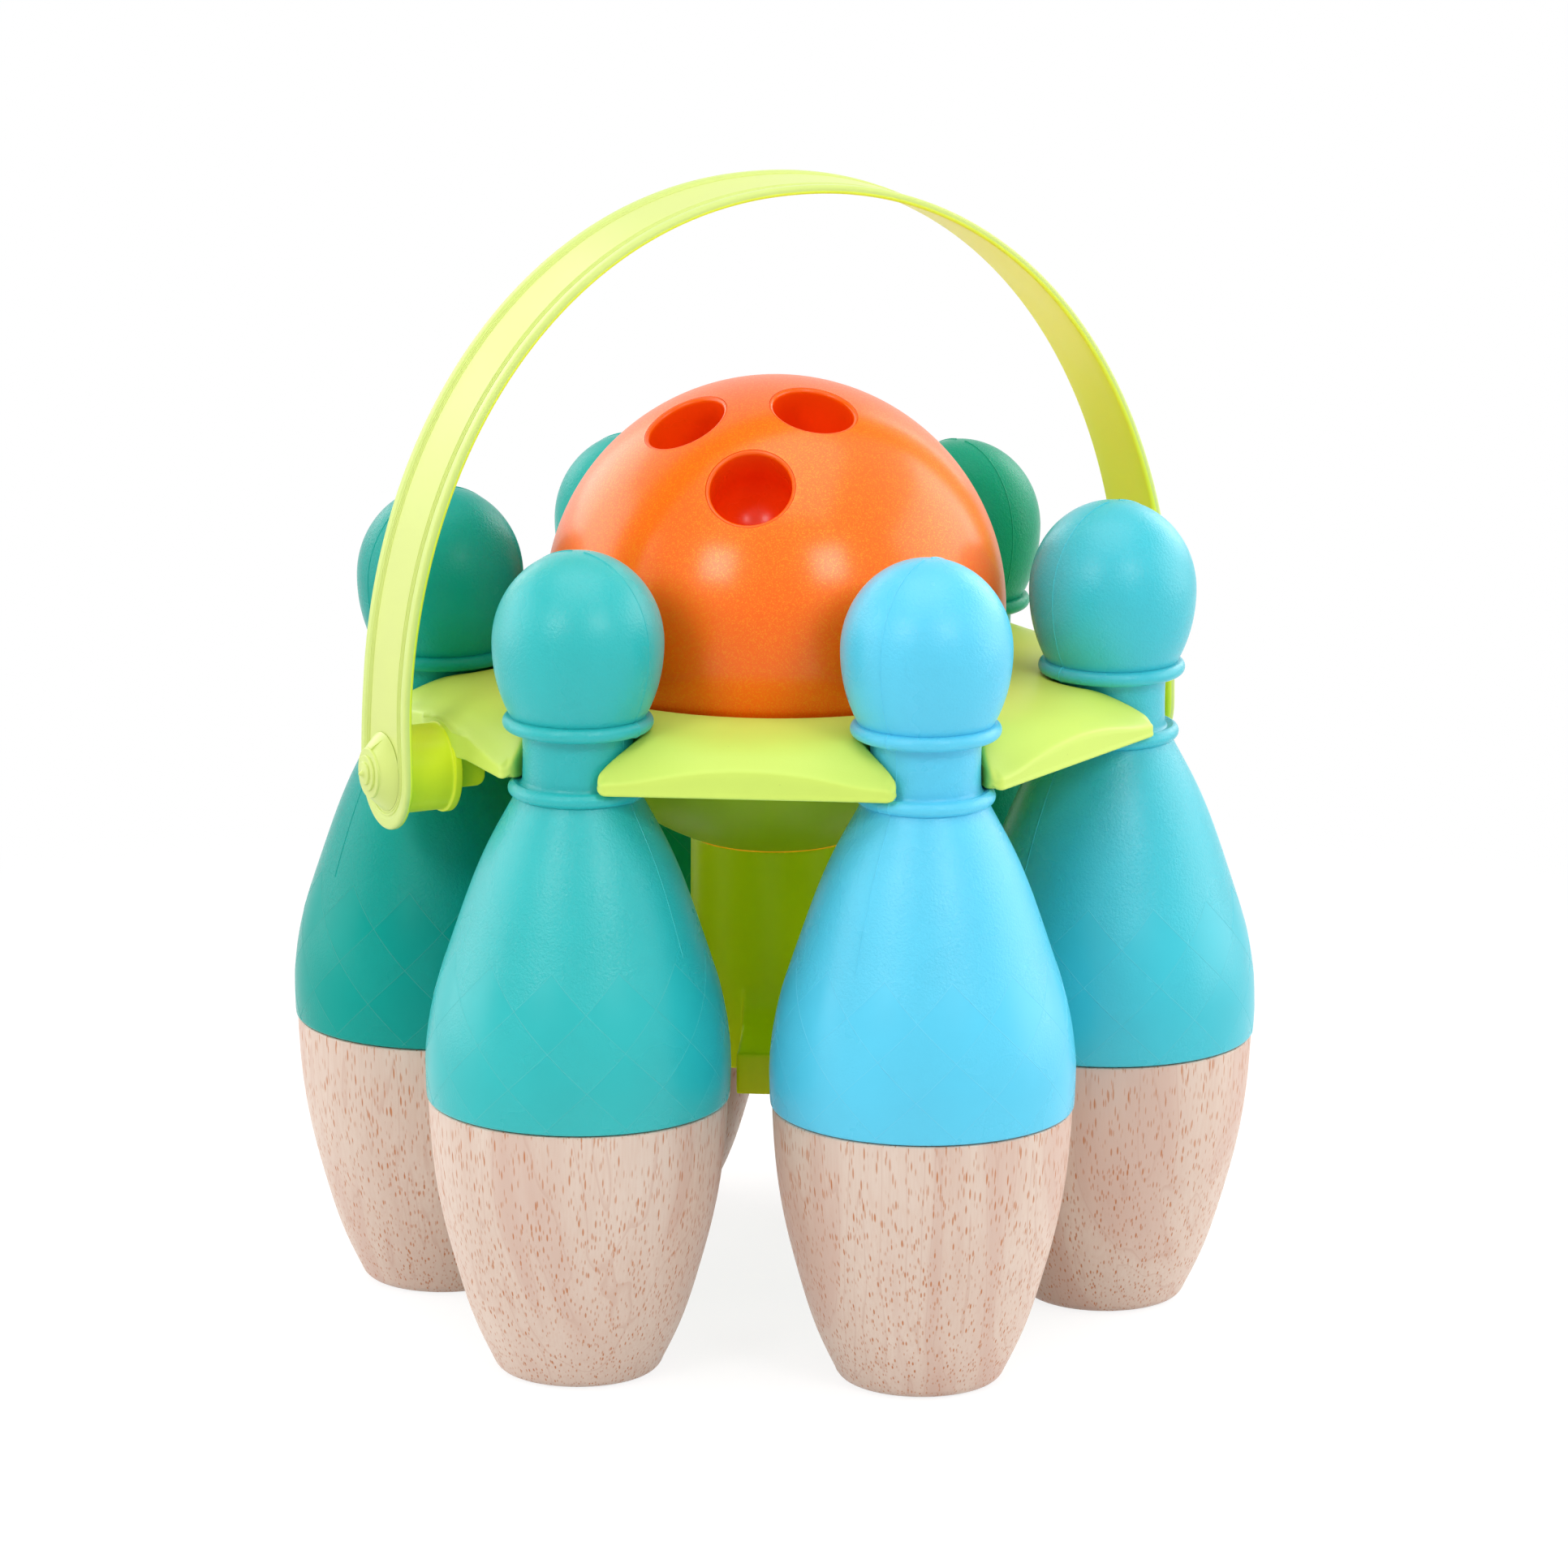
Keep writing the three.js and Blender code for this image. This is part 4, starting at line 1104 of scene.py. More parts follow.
class BOWLING_OT_pin_shells(bpy.types.Operator):
    """Make the six plastic pin shells with their parting lines and pressed diamonds"""

    bl_idname = "bowling.pin_shells"
    bl_label = "Pin Shells"

    def execute(self, context):
        settings = context.scene.bowling_pins
        outside = pin_outside(settings)
        mould_tree, diamond_tree = build_mould_line_tree(), build_diamond_line_tree()
        seam = [(r - MOULD_LINE * 0.55, 0, h) for r, h in outside if h > DIAMOND_TOP and r > 1]
        body = body_curve(settings.belly / MM)
        heights = np.linspace(DIAMOND_TOP, SPLIT_HEIGHT + EDGE_ROUND, 40)
        edge = [(body(h) - DIAMOND_LINE * 0.68, 0, h) for h in heights]
        for k, centre in enumerate(pin_places):
            number = k + 1
            place = Matrix.Translation((centre.x, centre.y, 0))
            material = pin_material(k, settings)
            name = f"pin_{number}_plastic"
            mesh = turned_mesh(name, shell_outline(outside, settings), PIN_SEGMENTS, place)
            show_piece(name, mesh, material, f"pin_{number}", [f"pin_shell_{number}"])
            shift = Matrix.Translation((centre.x * MM, centre.y * MM, 0))
            for label, path, tree, turn, finish in (
                ("parting_lines", seam, mould_tree, pin_mould_turns[k], material),
                ("diamond_edges", edge, diamond_tree, pin_diamond_turns[k], diamond_edge_highlight_material(k)),
            ):
                name = f"pin_{number}_{label}"
                lines = grow(
                    name, polyline(name, path), tree, {"Turn": math.radians(turn), "Material": finish}
                )
                lines.transform(shift)
                show_piece(name, lines, finish, f"pin_{number}", crease=80)
        return {"FINISHED"}


class BOWLING_OT_pin_bases(bpy.types.Operator):
    """Make the six turned wooden pin bases"""

    bl_idname = "bowling.pin_bases"
    bl_label = "Pin Bases"

    def execute(self, context):
        outline = base_outline(context.scene.bowling_pins)
        for k, centre in enumerate(pin_places):
            number = k + 1
            place = Matrix.Translation((centre.x, centre.y, 0))
            name = f"pin_{number}_wood"
            mesh = turned_mesh(name, outline, PIN_SEGMENTS, place)
            show_piece(name, mesh, wood_material(k), f"pin_{number}", [f"pin_base_{number}"])
        return {"FINISHED"}


# Ball


def ball_turn():
    """Turn of the ball at its place: its tilt and its heading."""
    heading = Matrix.Rotation(math.radians(BALL_HEADING), 4, "Z")
    tilt = Matrix.Rotation(math.radians(BALL_TILT), 4, "Y")
    return Matrix.Translation(BALL_PLACE) @ heading @ tilt


def finger_turn(k):
    """Turn from the ball's own axis to the axis of one finger hole."""
    spin = Matrix.Rotation(math.radians(BALL_SPIN + 360 / FINGER_COUNT * k), 4, "Z")
    return spin @ Matrix.Rotation(math.radians(FINGER_SPREAD), 4, "Y")


def trimmed_shell(name, radius, wall, cuts, turn):
    """Shell of a sphere, trimmed clean along the circles where its points pass each cut plane."""
    bm = bmesh.new()
    bmesh.ops.create_icosphere(bm, subdivisions=BALL_FINENESS, radius=1)
    for axis, limit in cuts:
        past = [v for v in bm.verts if v.co.dot(axis) > limit]
        bmesh.ops.delete(bm, geom=past, context="VERTS")
        border = {v for e in bm.edges if e.is_boundary for v in e.verts if v.co.dot(axis) > limit - 0.05}
        for v in border:
            side = (v.co - axis * v.co.dot(axis)).normalized()
            v.co = axis * limit + side * math.sqrt(1 - limit * limit)
    verts = [v.co.copy() for v in bm.verts]
    bm.verts.index_update()
    faces = [[v.index for v in f.verts] for f in bm.faces]
    rims = []
    for edge in bm.edges:
        if edge.is_boundary:
            loop = edge.link_loops[0]
            rims.append((loop.vert.index, loop.link_loop_next.vert.index))
    bm.free()
    count = len(verts)
    placed = [turn @ (v * radius) for v in verts] + [turn @ (v * (radius - wall)) for v in verts]
    inner = [[i + count for i in reversed(f)] for f in faces]
    walls = [[b, a, a + count, b + count] for a, b in rims]
    return make_mesh(name, placed, faces + inner + walls, outwards=False)


def cup_outline(radius, finger):
    """Outline of a finger cup about its own axis, from the centre of the ball."""
    lip = finger + LIP_WIDTH
    level = math.sqrt(radius**2 - lip**2) - LIP_SINK
    bottom = radius - FINGER_DEPTH
    outer = finger + CUP_WALL - LIP_GAP
    centre = bottom + finger
    flat = math.sqrt(radius**2 - (finger + LIP_ROUND) ** 2) - LIP_SINK
    points = [(0.0, bottom - CUP_WALL)]
    points += arc(0, centre, outer, outer, -90, 0, 14)[1:]
    points += [(outer, level - 0.3), (lip, level - 0.12), (lip - 0.08, level)]
    points += arc(finger + LIP_ROUND, flat - LIP_ROUND, LIP_ROUND, LIP_ROUND, 90, 180, 8)
    points += [(finger, (flat + centre) / 2)]
    points += arc(0, centre, finger, finger, 0, -90, 16)
    points[-1] = (0.0, bottom)
    return points


class BOWLING_OT_ball(bpy.types.Operator):
    """Make the ball's two shells and its three finger cups"""

    bl_idname = "bowling.ball"
    bl_label = "Ball"

    def execute(self, context):
        settings = context.scene.bowling_ball
        radius, finger = settings.radius / MM, settings.finger / MM
        pearl, cup = pearl_material(settings.shell), cup_material(settings.cup, settings.shell)
        seam = BALL_SEAM / 2 / radius
        hole = math.sqrt(1 - ((finger + LIP_WIDTH + LIP_GAP) / radius) ** 2)
        cuts = [(Vector((0, 0, -1)), -seam)]
        for k in range(FINGER_COUNT):
            axis = finger_turn(k).to_3x3() @ Vector((0, 0, 1))
            cuts.append((axis, hole))
            place = ball_turn() @ finger_turn(k)
            name = f"ball_cup_{k + 1}"
            mesh = turned_mesh(name, cup_outline(radius, finger), 96, place)
            show_piece(name, mesh, cup, "ball", [f"finger_cup_{k + 1}"])
        upper = trimmed_shell("ball_upper_half", radius, BALL_WALL, cuts, ball_turn())
        lower = trimmed_shell("ball_lower_half", radius, BALL_WALL, [(Vector((0, 0, 1)), -seam)], ball_turn())
        show_piece("ball_upper_half", upper, pearl, "ball", ["ball_upper_shell"])
        show_piece("ball_lower_half", lower, pearl, "ball", ["ball_lower_shell"])
        return {"FINISHED"}


# Tray


def mouth_half_width(x, inset):
    """Half-width of a slot at a distance from the tray's axis, narrower at its mouth."""
    narrowing = SLOT_HALF_WIDTH - MOUTH_HALF_WIDTH
    return SLOT_HALF_WIDTH + inset - narrowing * soft_step((x - RING_RADIUS) / MOUTH_LENGTH)


def tip_circle(inset):
    """Centre and radius of the rounding at a petal's tip, beside a slot that runs along X."""
    slope = PITCH / 2
    mouth = MOUTH_HALF_WIDTH + inset
    tip = max(TIP_ROUND - inset, 0.3)
    corner = (PETAL_REACH - inset - mouth * math.sin(slope)) / math.cos(slope)
    return corner - tip * math.tan((math.pi / 2 + slope) / 2), mouth + tip, tip


def half_petal(inset):
    """Half a petal's outline, from a slot's back to the middle of its edge, and its spread in shares."""
    slope = PITCH / 2
    across = SLOT_HALF_WIDTH + inset
    reach = PETAL_REACH - inset
    outline = [(RING_RADIUS + x, y) for x, y in arc(0, 0, across, across, 180, 90, BACK_STEPS)]
    x, y, tip = tip_circle(inset)
    for along in np.linspace(RING_RADIUS, x, MOUTH_STEPS + 1)[1:]:
        outline.append((along, float(mouth_half_width(along, inset))))
    outline += arc(x, y, tip, tip, -90, math.degrees(slope), TIP_STEPS)[1:]
    middle = Vector((reach * math.cos(slope), reach * math.sin(slope)))
    last = Vector(outline[-1])
    for share in np.linspace(0, 1, EDGE_STEPS + 1)[1:]:
        outline.append(tuple(last.lerp(middle, share)))
    spread = np.concatenate([
        np.linspace(0, 0.4, BACK_STEPS + 1),
        np.linspace(0.4, 0.58, MOUTH_STEPS + 1)[1:],
        np.linspace(0.58, 0.66, TIP_STEPS + 1)[1:],
        np.linspace(0.66, 1, EDGE_STEPS + 1)[1:],
    ])
    return np.array(outline), spread


def full_outline(inset):
    """Whole outline of the tray, and the direction on the bowl's rim that goes with each point."""
    half, spread = half_petal(inset)
    points, turns = [], []
    for k in range(PIN_COUNT):
        heading = FIRST_PIN_ANGLE + k * PITCH
        cos, sin = math.cos(heading), math.sin(heading)
        side = [(x, -y, -s) for (x, y), s in zip(half[::-1], spread[::-1])]
        side += [(x, y, s) for (x, y), s in zip(half[1:-1], spread[1:-1])]
        for x, y, s in side:
            points.append((x * cos - y * sin, x * sin + y * cos))
            turns.append(heading + s * PITCH / 2)
    return np.array(points), np.array(turns)


def tip_rounding(along, across, from_edge, from_slot, inset):
    """How much nearer to a petal's rounded tip places are than to the sharp one."""
    x, y, tip = tip_circle(inset)
    turn = np.arctan2(across - y, along - x)
    inside = (turn >= -math.pi / 2) & (turn <= PITCH / 2)
    rounded = tip - np.hypot(along - x, across - y)
    return np.where(inside, np.maximum(np.minimum(from_edge, from_slot) - rounded, 0), 0)


def slot_place(points):
    """Places in the plan as distances along and across the middle of the nearest slot."""
    turn = np.arctan2(points[:, 1], points[:, 0]) - FIRST_PIN_ANGLE
    local = np.abs((turn + PITCH / 2) % PITCH - PITCH / 2)
    out = np.hypot(points[:, 0], points[:, 1])
    return out * np.cos(local), out * np.sin(local)


def tip_lift(points):
    """Rise of the bottom edge at the petals' tips."""
    along, across = slot_place(points)
    x, y, tip = tip_circle(0)
    turn = math.radians(TIP_LIFT_TURN)
    out = np.hypot(along - x - tip * math.cos(turn), across - y - tip * math.sin(turn))
    near = np.clip(1 - out / TIP_LIFT_LENGTH, 0, 1)
    return TIP_LIFT * (1 - np.sqrt(1 - near**2))


roll_places = np.linspace(0, 1, 400)
roll_drops = smooth_curve(roll_inset_shares, roll_drop_shares)(roll_places)


def tray_height(points, inset):
    """Height of the tray's top, or of its underside at an inset of the wall, over points in the plan."""
    depth = PLATE_TOP - TRAY_BOTTOM
    along, across = slot_place(points)
    slope = PITCH / 2
    from_edge = PETAL_REACH - inset - (along * math.cos(slope) + across * math.sin(slope))
    from_back = np.hypot(along - RING_RADIUS, across) - SLOT_HALF_WIDTH - inset
    from_side = across - mouth_half_width(along, inset)
    from_slot = np.where(along < RING_RADIUS, from_back, from_side)
    rounded = tip_rounding(along, across, from_edge, from_slot, inset)
    from_edge, from_slot = from_edge - rounded, from_slot - rounded
    share = np.clip(from_edge / PETAL_ROLL, 0, 1)
    edge_drop = depth * np.clip(np.interp(share, roll_places, roll_drops), 0, 1)
    aside = np.abs(across * math.cos(slope) - along * math.sin(slope)) / CROWN_REACH
    crown = aside**2 / (1 + aside**8) ** 0.25
    edge_drop += PETAL_CROWN * crown * soft_step(1 - from_edge / CROWN_WIDTH)
    lip = np.clip(1 - from_edge / EDGE_FILLET_WIDTH, 0, 1)
    edge_drop += EDGE_FILLET * (1 - np.sqrt(1 - lip**2))
    rest = np.clip(SLOT_ROUND - from_slot, 0, SLOT_ROUND)
    deep = SLOT_DROP + TIP_DROP * soft_step((along - RING_RADIUS + TIP_LENGTH / 3) / TIP_LENGTH)
    slot_drop = deep * (1 - np.sqrt(np.maximum(1 - (rest / SLOT_ROUND) ** 2, 0)))
    drop = (edge_drop**ROLL_BLEND + slot_drop**ROLL_BLEND) ** (1 / ROLL_BLEND)
    return PLATE_TOP - inset - drop


def saddle(points, heights):
    """Raises the two side petals to the collars of the drums."""
    x, y = np.abs(points[:, 0]), points[:, 1]
    collar = PIVOT_HEIGHT + np.sqrt(np.maximum(COLLAR_RADIUS**2 - y**2, 0.01))
    near = soft_step((x - (PETAL_REACH - SADDLE_REACH)) / SADDLE_LENGTH)
    gap = np.clip(SADDLE_ROUND - np.abs(heights - collar), 0, None) / SADDLE_ROUND
    joined = np.maximum(heights, collar) + gap**2 * SADDLE_ROUND / 4
    close = soft_step((COLLAR_RADIUS + SADDLE_ROUND - np.abs(y)) / SADDLE_ROUND)
    return heights + (joined - heights) * near * close


def bulged(points):
    """Pushes the outer edge of the two side petals out to the face of the collar."""
    x, y = points[:, 0], points[:, 1]
    share = soft_step((COLLAR_RADIUS + BULGE_MARGIN - np.abs(y)) / BULGE_EDGE)
    near = soft_step((np.abs(x) - (PETAL_REACH - BULGE_REACH)) / BULGE_REACH)
    moved = points.copy()
    moved[:, 0] += np.sign(x) * COLLAR_THICKNESS * BULGE_SHARE * share * near
    return moved


def level_circle(radius, height, angles):
    """Points of a level circle at given angles."""
    return np.stack([radius * np.cos(angles), radius * np.sin(angles), np.full(len(angles), height)], 1)


def bowl_rows(turns, radius, seat, rim):
    """Rows up the inside of the bowl and over its rim."""
    first = math.degrees(math.asin((seat - PLATE_TOP + RIM_ROUND + 0.6) / radius))
    rows = []
    for t in np.radians(np.linspace(89.5, first, 22)):
        rows.append(level_circle(radius * math.cos(t), seat - radius * math.sin(t), turns))
    for r, z in arc(rim + RIM_ROUND, PLATE_TOP - RIM_ROUND, RIM_ROUND, RIM_ROUND, 180, 90, 5):
        rows.append(level_circle(r, z, turns))
    return rows


def petal_rows(outline, turns, rim):
    """Rows out over the petals, down their edge and over the thin line at its foot."""
    ring = level_circle(rim + RIM_ROUND, 0, turns)[:, :2]
    rows = []
    for share in 1 - np.linspace(1, 0, 34)[1:] ** 1.5:
        plan = ring + (outline - ring) * share
        rows.append(np.column_stack([plan, saddle(plan, tray_height(plan, 0))]))
    top = rows[-1][:, 2]
    bottom = TRAY_BOTTOM + tip_lift(full_outline(0)[0])
    for share in (0.3, 0.6, 0.85):
        rows.append(np.column_stack([outline, top + (bottom + 1.2 - top) * share]))
    for inset, rise in ((0, 1.15), (-EDGE_LINE, 0.75), (-EDGE_LINE, 0.4), (0.08, 0.12), (0.4, 0)):
        rows.append(np.column_stack([bulged(full_outline(inset)[0]), bottom + rise]))
    return rows


def underside_rows(radius):
    """Rows back under the petals and down the outside of the bowl to the spigot."""
    under, turns = full_outline(TRAY_WALL)
    rows = [np.column_stack([under, np.full(len(under), TRAY_BOTTOM)])]
    lid = tray_height(under, TRAY_WALL)
    rows.append(np.column_stack([under, (lid + TRAY_BOTTOM) / 2]))
    bowl = radius + TRAY_WALL
    below = PLATE_TOP - TRAY_WALL - HOLLOW_ROUND
    hollow = math.sqrt((bowl + HOLLOW_ROUND) ** 2 - (BALL_PLACE.z - below) ** 2)
    ring = level_circle(hollow, 0, turns)[:, :2]
    for share in np.linspace(0, 1, 22) ** 1.4:
        plan = under + (ring - under) * share
        rows.append(np.column_stack([plan, tray_height(plan, TRAY_WALL)]))
    reach = math.degrees(math.asin((BALL_PLACE.z - below) / (bowl + HOLLOW_ROUND)))
    for r, z in arc(hollow, below, HOLLOW_ROUND, HOLLOW_ROUND, 90, 180 - reach, 6)[1:]:
        rows.append(level_circle(r, z, turns))
    spigot = COLUMN_RADIUS - COLUMN_WALL - FIT_GAP
    last = math.degrees(math.acos(spigot / bowl))
    for t in np.radians(np.linspace(reach, last, 22)[1:]):
        rows.append(level_circle(bowl * math.cos(t), BALL_PLACE.z - bowl * math.sin(t), turns))
    foot = rows[-1][0, 2]
    inner = spigot - COLUMN_WALL
    floor = foot - SPIGOT_FLOOR
    for r, z in ((spigot, foot - SPIGOT_LENGTH), (inner, foot - SPIGOT_LENGTH), (inner, floor), (0.4, floor)):
        rows.append(level_circle(r, z, turns))
    return rows


def tray_rows():
    """Rows of points from the bottom of the bowl over the petals and back under them to the spigot."""
    outline, turns = full_outline(0)
    radius = BALL_RADIUS + BOWL_GAP
    seat = BALL_PLACE.z + BOWL_GAP - BOWL_SEAT
    rim = math.sqrt(radius**2 - (seat - PLATE_TOP + RIM_ROUND) ** 2)
    return [
        *bowl_rows(turns, radius, seat, rim),
        *petal_rows(bulged(outline), turns, rim),
        *underside_rows(radius),
    ]


def rows_mesh(name, rows):
    """Closed mesh from rows of points that each run once round, with its two ends capped."""
    count = len(rows[0])
    verts = np.concatenate(rows)
    faces = []
    for r in range(len(rows) - 1):
        for i in range(count):
            n = (i + 1) % count
            faces.append([r * count + i, r * count + n, (r + 1) * count + n, (r + 1) * count + i])
    faces.append(list(range(count))[::-1])
    faces.append([(len(rows) - 1) * count + i for i in range(count)])
    return make_mesh(name, verts, faces)


class BOWLING_OT_tray(bpy.types.Operator):
    """Make the tray: the bowl, the six petals and their slots"""

    bl_idname = "bowling.tray"
    bl_label = "Tray"

    def execute(self, context):
        settings = context.scene.bowling_carrier
        # The tray's underside gets the painted shade colour
        lime = lime_material("lime plastic", settings.lime, 0.32, 0.42, below=settings.shade)
        mesh = rows_mesh("petal_tray", tray_rows())
        show_piece("petal_tray", mesh, lime, "carrier", ["tray"], crease=50)
        return {"FINISHED"}


# Column and brackets


def bowl_underside(radius):
    """Height of the bowl's outer face at a distance from its axis."""
    return BALL_PLACE.z - math.sqrt((BALL_RADIUS + BOWL_GAP + TRAY_WALL) ** 2 - radius**2)


def arm_outline(bottom, inset):
    """Outline of one arm of the foot, from the axis to its face and up a curve to the column."""
    root, face = COLUMN_RADIUS - inset, COLUMN_BOTTOM + ARM_FACE_HEIGHT - inset
    top = COLUMN_BOTTOM + ARM_ROOT_HEIGHT - inset
    reach = ARM_REACH - inset
    points = [(0, bottom), (reach, bottom), (reach, face)]
    for t in np.linspace(0, 1, 12)[1:]:
        x = reach * (1 - t) ** 2 + 2 * root * t * (1 - t) + root * t * t
        z = face * (1 - t) ** 2 + 2 * face * t * (1 - t) + top * t * t
        points.append((x, z))
    return points + [(0, top)]


class BOWLING_OT_column(bpy.types.Operator):
    """Make the column under the bowl with its six-armed foot"""

    bl_idname = "bowling.column"
    bl_label = "Column"

    def execute(self, context):
        bore = COLUMN_RADIUS - COLUMN_WALL
        top = bowl_underside(COLUMN_RADIUS) + SEAM_LAP
        low = COLUMN_BOTTOM - CUT_PAST
        outline = [(0.0, COLUMN_BOTTOM), (COLUMN_RADIUS, COLUMN_BOTTOM), (COLUMN_RADIUS, top)]
        outline += [(bore, bowl_underside(bore) + SEAM_LAP), (0.0, top)]
        tube = turned_mesh("tube", outline, 128)
        arms, hollows = [], []
        for k in range(PIN_COUNT):
            place = Matrix.Rotation(k * PITCH, 4, "Z")
            arms.append(prism_mesh("arm", arm_outline(COLUMN_BOTTOM, 0), ARM_WIDTH, place))
            hollows.append(prism_mesh("room", arm_outline(low, ARM_WALL), ARM_WIDTH - 2 * ARM_WALL, place))
        well = turned_mesh("well", [(0.0, low), (bore, low), (bore, PLATE_TOP), (0.0, PLATE_TOP)], 128)
        mesh = fused_mesh("column_and_foot", [tube, *arms], [*hollows, well], voxel=0.6, rounds=6)
        # Height of the painted glow line at the seam
        seam = bowl_underside(COLUMN_RADIUS) - SEAM_GLOW_DROP
        # The column gets its brighter painted copy of the lime and the painted glow at the seam
        lime = lime_material(
            "column lime plastic", context.scene.bowling_carrier.column, 0.5, 0.38, seam=seam
        )
        show_piece("column_and_foot", mesh, lime, "carrier", ["column"], crease=180)
        return {"FINISHED"}


def pivot_turn():
    """Turn that lays an upright outline along the pivot axis, towards +X."""
    return Matrix.Translation((0, 0, PIVOT_HEIGHT)) @ Matrix.Rotation(math.pi / 2, 4, "Y")


def pivot_sides():
    """Names of the pivot's two ends, each with its turn about +Z."""
    return [("right", Matrix()), ("left", Matrix.Rotation(math.pi, 4, "Z"))]


class BOWLING_OT_brackets(bpy.types.Operator):
    """Make the two pivot brackets: drum, collar and lug"""

    bl_idname = "bowling.brackets"
    bl_label = "Pivot Brackets"

    def execute(self, context):
        # The brackets get the brighter painted copy of the lime
        lime = lime_material("bracket lime plastic", context.scene.bowling_carrier.drum, 0.5, 0.36)
        back = PETAL_REACH - FIT_GAP
        collar = back + COLLAR_THICKNESS
        face = STRAP_FACE - context.scene.bowling_handle.thickness / MM - FIT_GAP
        outline = [(0.0, back), (COLLAR_RADIUS, back), (COLLAR_RADIUS, collar)]
        outline += [(DRUM_RADIUS, collar), (DRUM_RADIUS, face), (0.0, face)]
        bore = POST_RADIUS + FIT_GAP
        deep, past = face - POST_DEPTH - FIT_GAP, face + CUT_PAST
        low, high = PIVOT_HEIGHT - LUG_DROP, PIVOT_HEIGHT + LUG_RISE
        inner = back - LUG_LENGTH
        corner = arc(inner + LUG_ROUND, low + LUG_ROUND, LUG_ROUND, LUG_ROUND, 270, 180, 5)
        lug = [(collar - 1, low), *corner, (inner, high), (collar - 1, high)]
        for label, turn in pivot_sides():
            drum = turned_mesh("drum", outline, 96, turn @ pivot_turn())
            block = prism_mesh("lug", lug, LUG_WIDTH, turn)
            hole = turned_mesh(
                "hole", [(0.0, deep), (bore, deep), (bore, past), (0.0, past)], 64, turn @ pivot_turn()
            )
            name = f"pivot_drum_{label}"
            mesh = fused_mesh(name, [drum, block], [hole], voxel=0.22, rounds=3)
            show_piece(name, mesh, lime, "carrier", [f"pivot_bracket_{label}"], crease=180)
        return {"FINISHED"}


# Handle


def arch_path(thickness):
    """Middle line of the strap from its crown past the pivot, with its directions and the pivot's place."""
    half = STRAP_FACE - thickness / 2
    rise = STRAP_TOP - PIVOT_HEIGHT - thickness / 2
    power = 2 / CROWN_POWER
    turn = np.linspace(math.pi / 2, 0, 1200)
    x = half * np.cos(turn) ** power
    z = STRAP_STRAIGHT + (rise - STRAP_STRAIGHT) * np.sin(turn) ** power
    x = np.append(x, [half, half])
    z = np.append(z, [0, -STRAP_TAIL])
    step = np.hypot(np.diff(x), np.diff(z))
    length = np.concatenate([[0], np.cumsum(step)])
    pivot = length[-2]
    tangent = np.stack([np.gradient(x, length), np.gradient(z, length)], 1)
    tangent /= np.linalg.norm(tangent, axis=1)[:, None]
    return length, x, z, tangent, pivot


class Strap:
    """Maps flat places on the strap, along from the crown and across, to the arch."""

    def __init__(self, settings):
        self.thickness = settings.thickness / MM
        self.half_width = settings.width / MM / 2
        self.end = settings.end / MM
        self.length, self.x, self.z, self.tangent, self.pivot = arch_path(self.thickness)

    def outline(self, inset, steps=260, end_steps=28):
        """Edge of the flat strap from the crown round one end to the middle line, drawn in."""
        bend = self.end - inset
        along = np.linspace(0, self.pivot, steps)
        flare = (self.end - self.half_width) * soft_step(
            (along - self.pivot + STRAP_FLARE_LENGTH) / STRAP_FLARE_LENGTH
        )
        across = self.half_width + flare - inset
        turn = np.linspace(0, math.pi / 2, end_steps)[1:]
        along = np.concatenate([along, self.pivot + bend * np.sin(turn)])
        across = np.concatenate([across, bend * np.cos(turn)])
        return along, across

    def place(self, along, across, height):
        """Points of the arch for flat places, at a height over the strap's middle."""
        side = np.where(along < 0, -1.0, 1.0)
        s = np.abs(along)
        x = np.interp(s, self.length, self.x)
        z = np.interp(s, self.length, self.z)
        tx = np.interp(s, self.length, self.tangent[:, 0])
        tz = np.interp(s, self.length, self.tangent[:, 1])
        return np.stack([side * (x - tz * height), across + 0 * s, PIVOT_HEIGHT + z + tx * height], 1)


def strap_profiles(strap):
    """Sections from the strap's edge inwards, outside and inside, as [inset, height over the middle]."""
    half = strap.thickness / 2
    field = half - STRAP_BEAD_DROP
    bend = STRAP_EDGE_ROUND
    outside = []
    for t in np.radians(np.linspace(0, 90, 7)):
        outside.append((bend * (1 - math.cos(t)), half - bend + bend * math.sin(t)))
    inside = [outside[0], *((inset, -height) for inset, height in outside)]
    outside += [(STRAP_BEAD - 0.5, half), (STRAP_BEAD - 0.15, half - 0.08), (STRAP_BEAD + 0.1, field)]
    outside += [(STRAP_BEAD + 0.6, field), (STRAP_BEAD + STRAP_FIELD_EDGE, field)]
    inside.append((STRAP_BEAD + STRAP_FIELD_EDGE, -half + STRAP_INNER_DROP))
    return outside, inside


def strap_columns(strap, profile):
    """Columns from one edge of the strap to the other, each with its places along, across and up."""
    columns = []
    for inset, height in profile:
        along, across = strap.outline(inset)
        columns.append((along, across, np.full(len(along), height)))
    along, across, height = columns[-1]
    for share in np.linspace(0, 1, 5)[1:]:
        columns.append((along, across * (1 - share), height))
    return columns + [(a, -c, h) for a, c, h in columns[-2::-1]]


def strap_mesh(strap):
    """Strap with a rolled bead all round, a lower field outside and a shallow one inside."""
    verts, faces = [], []
    for profile, flip in zip(strap_profiles(strap), (False, True)):
        columns = strap_columns(strap, profile)
        rows = len(columns[0][0])
        for end in (1, -1):
            base = len(verts)
            for along, across, height in columns:
                points = strap.place(along, across, height)
                points[0, 0] = 0.0
                points[:, 0] *= end
                verts.extend(points)
            for c in range(len(columns) - 1):
                for r in range(rows - 1):
                    first, second = base + c * rows + r, base + (c + 1) * rows + r
                    quad = [first, second, second + 1, first + 1]
                    faces.append(quad if flip == (end == 1) else quad[::-1])
    return make_mesh("strap", verts, faces)


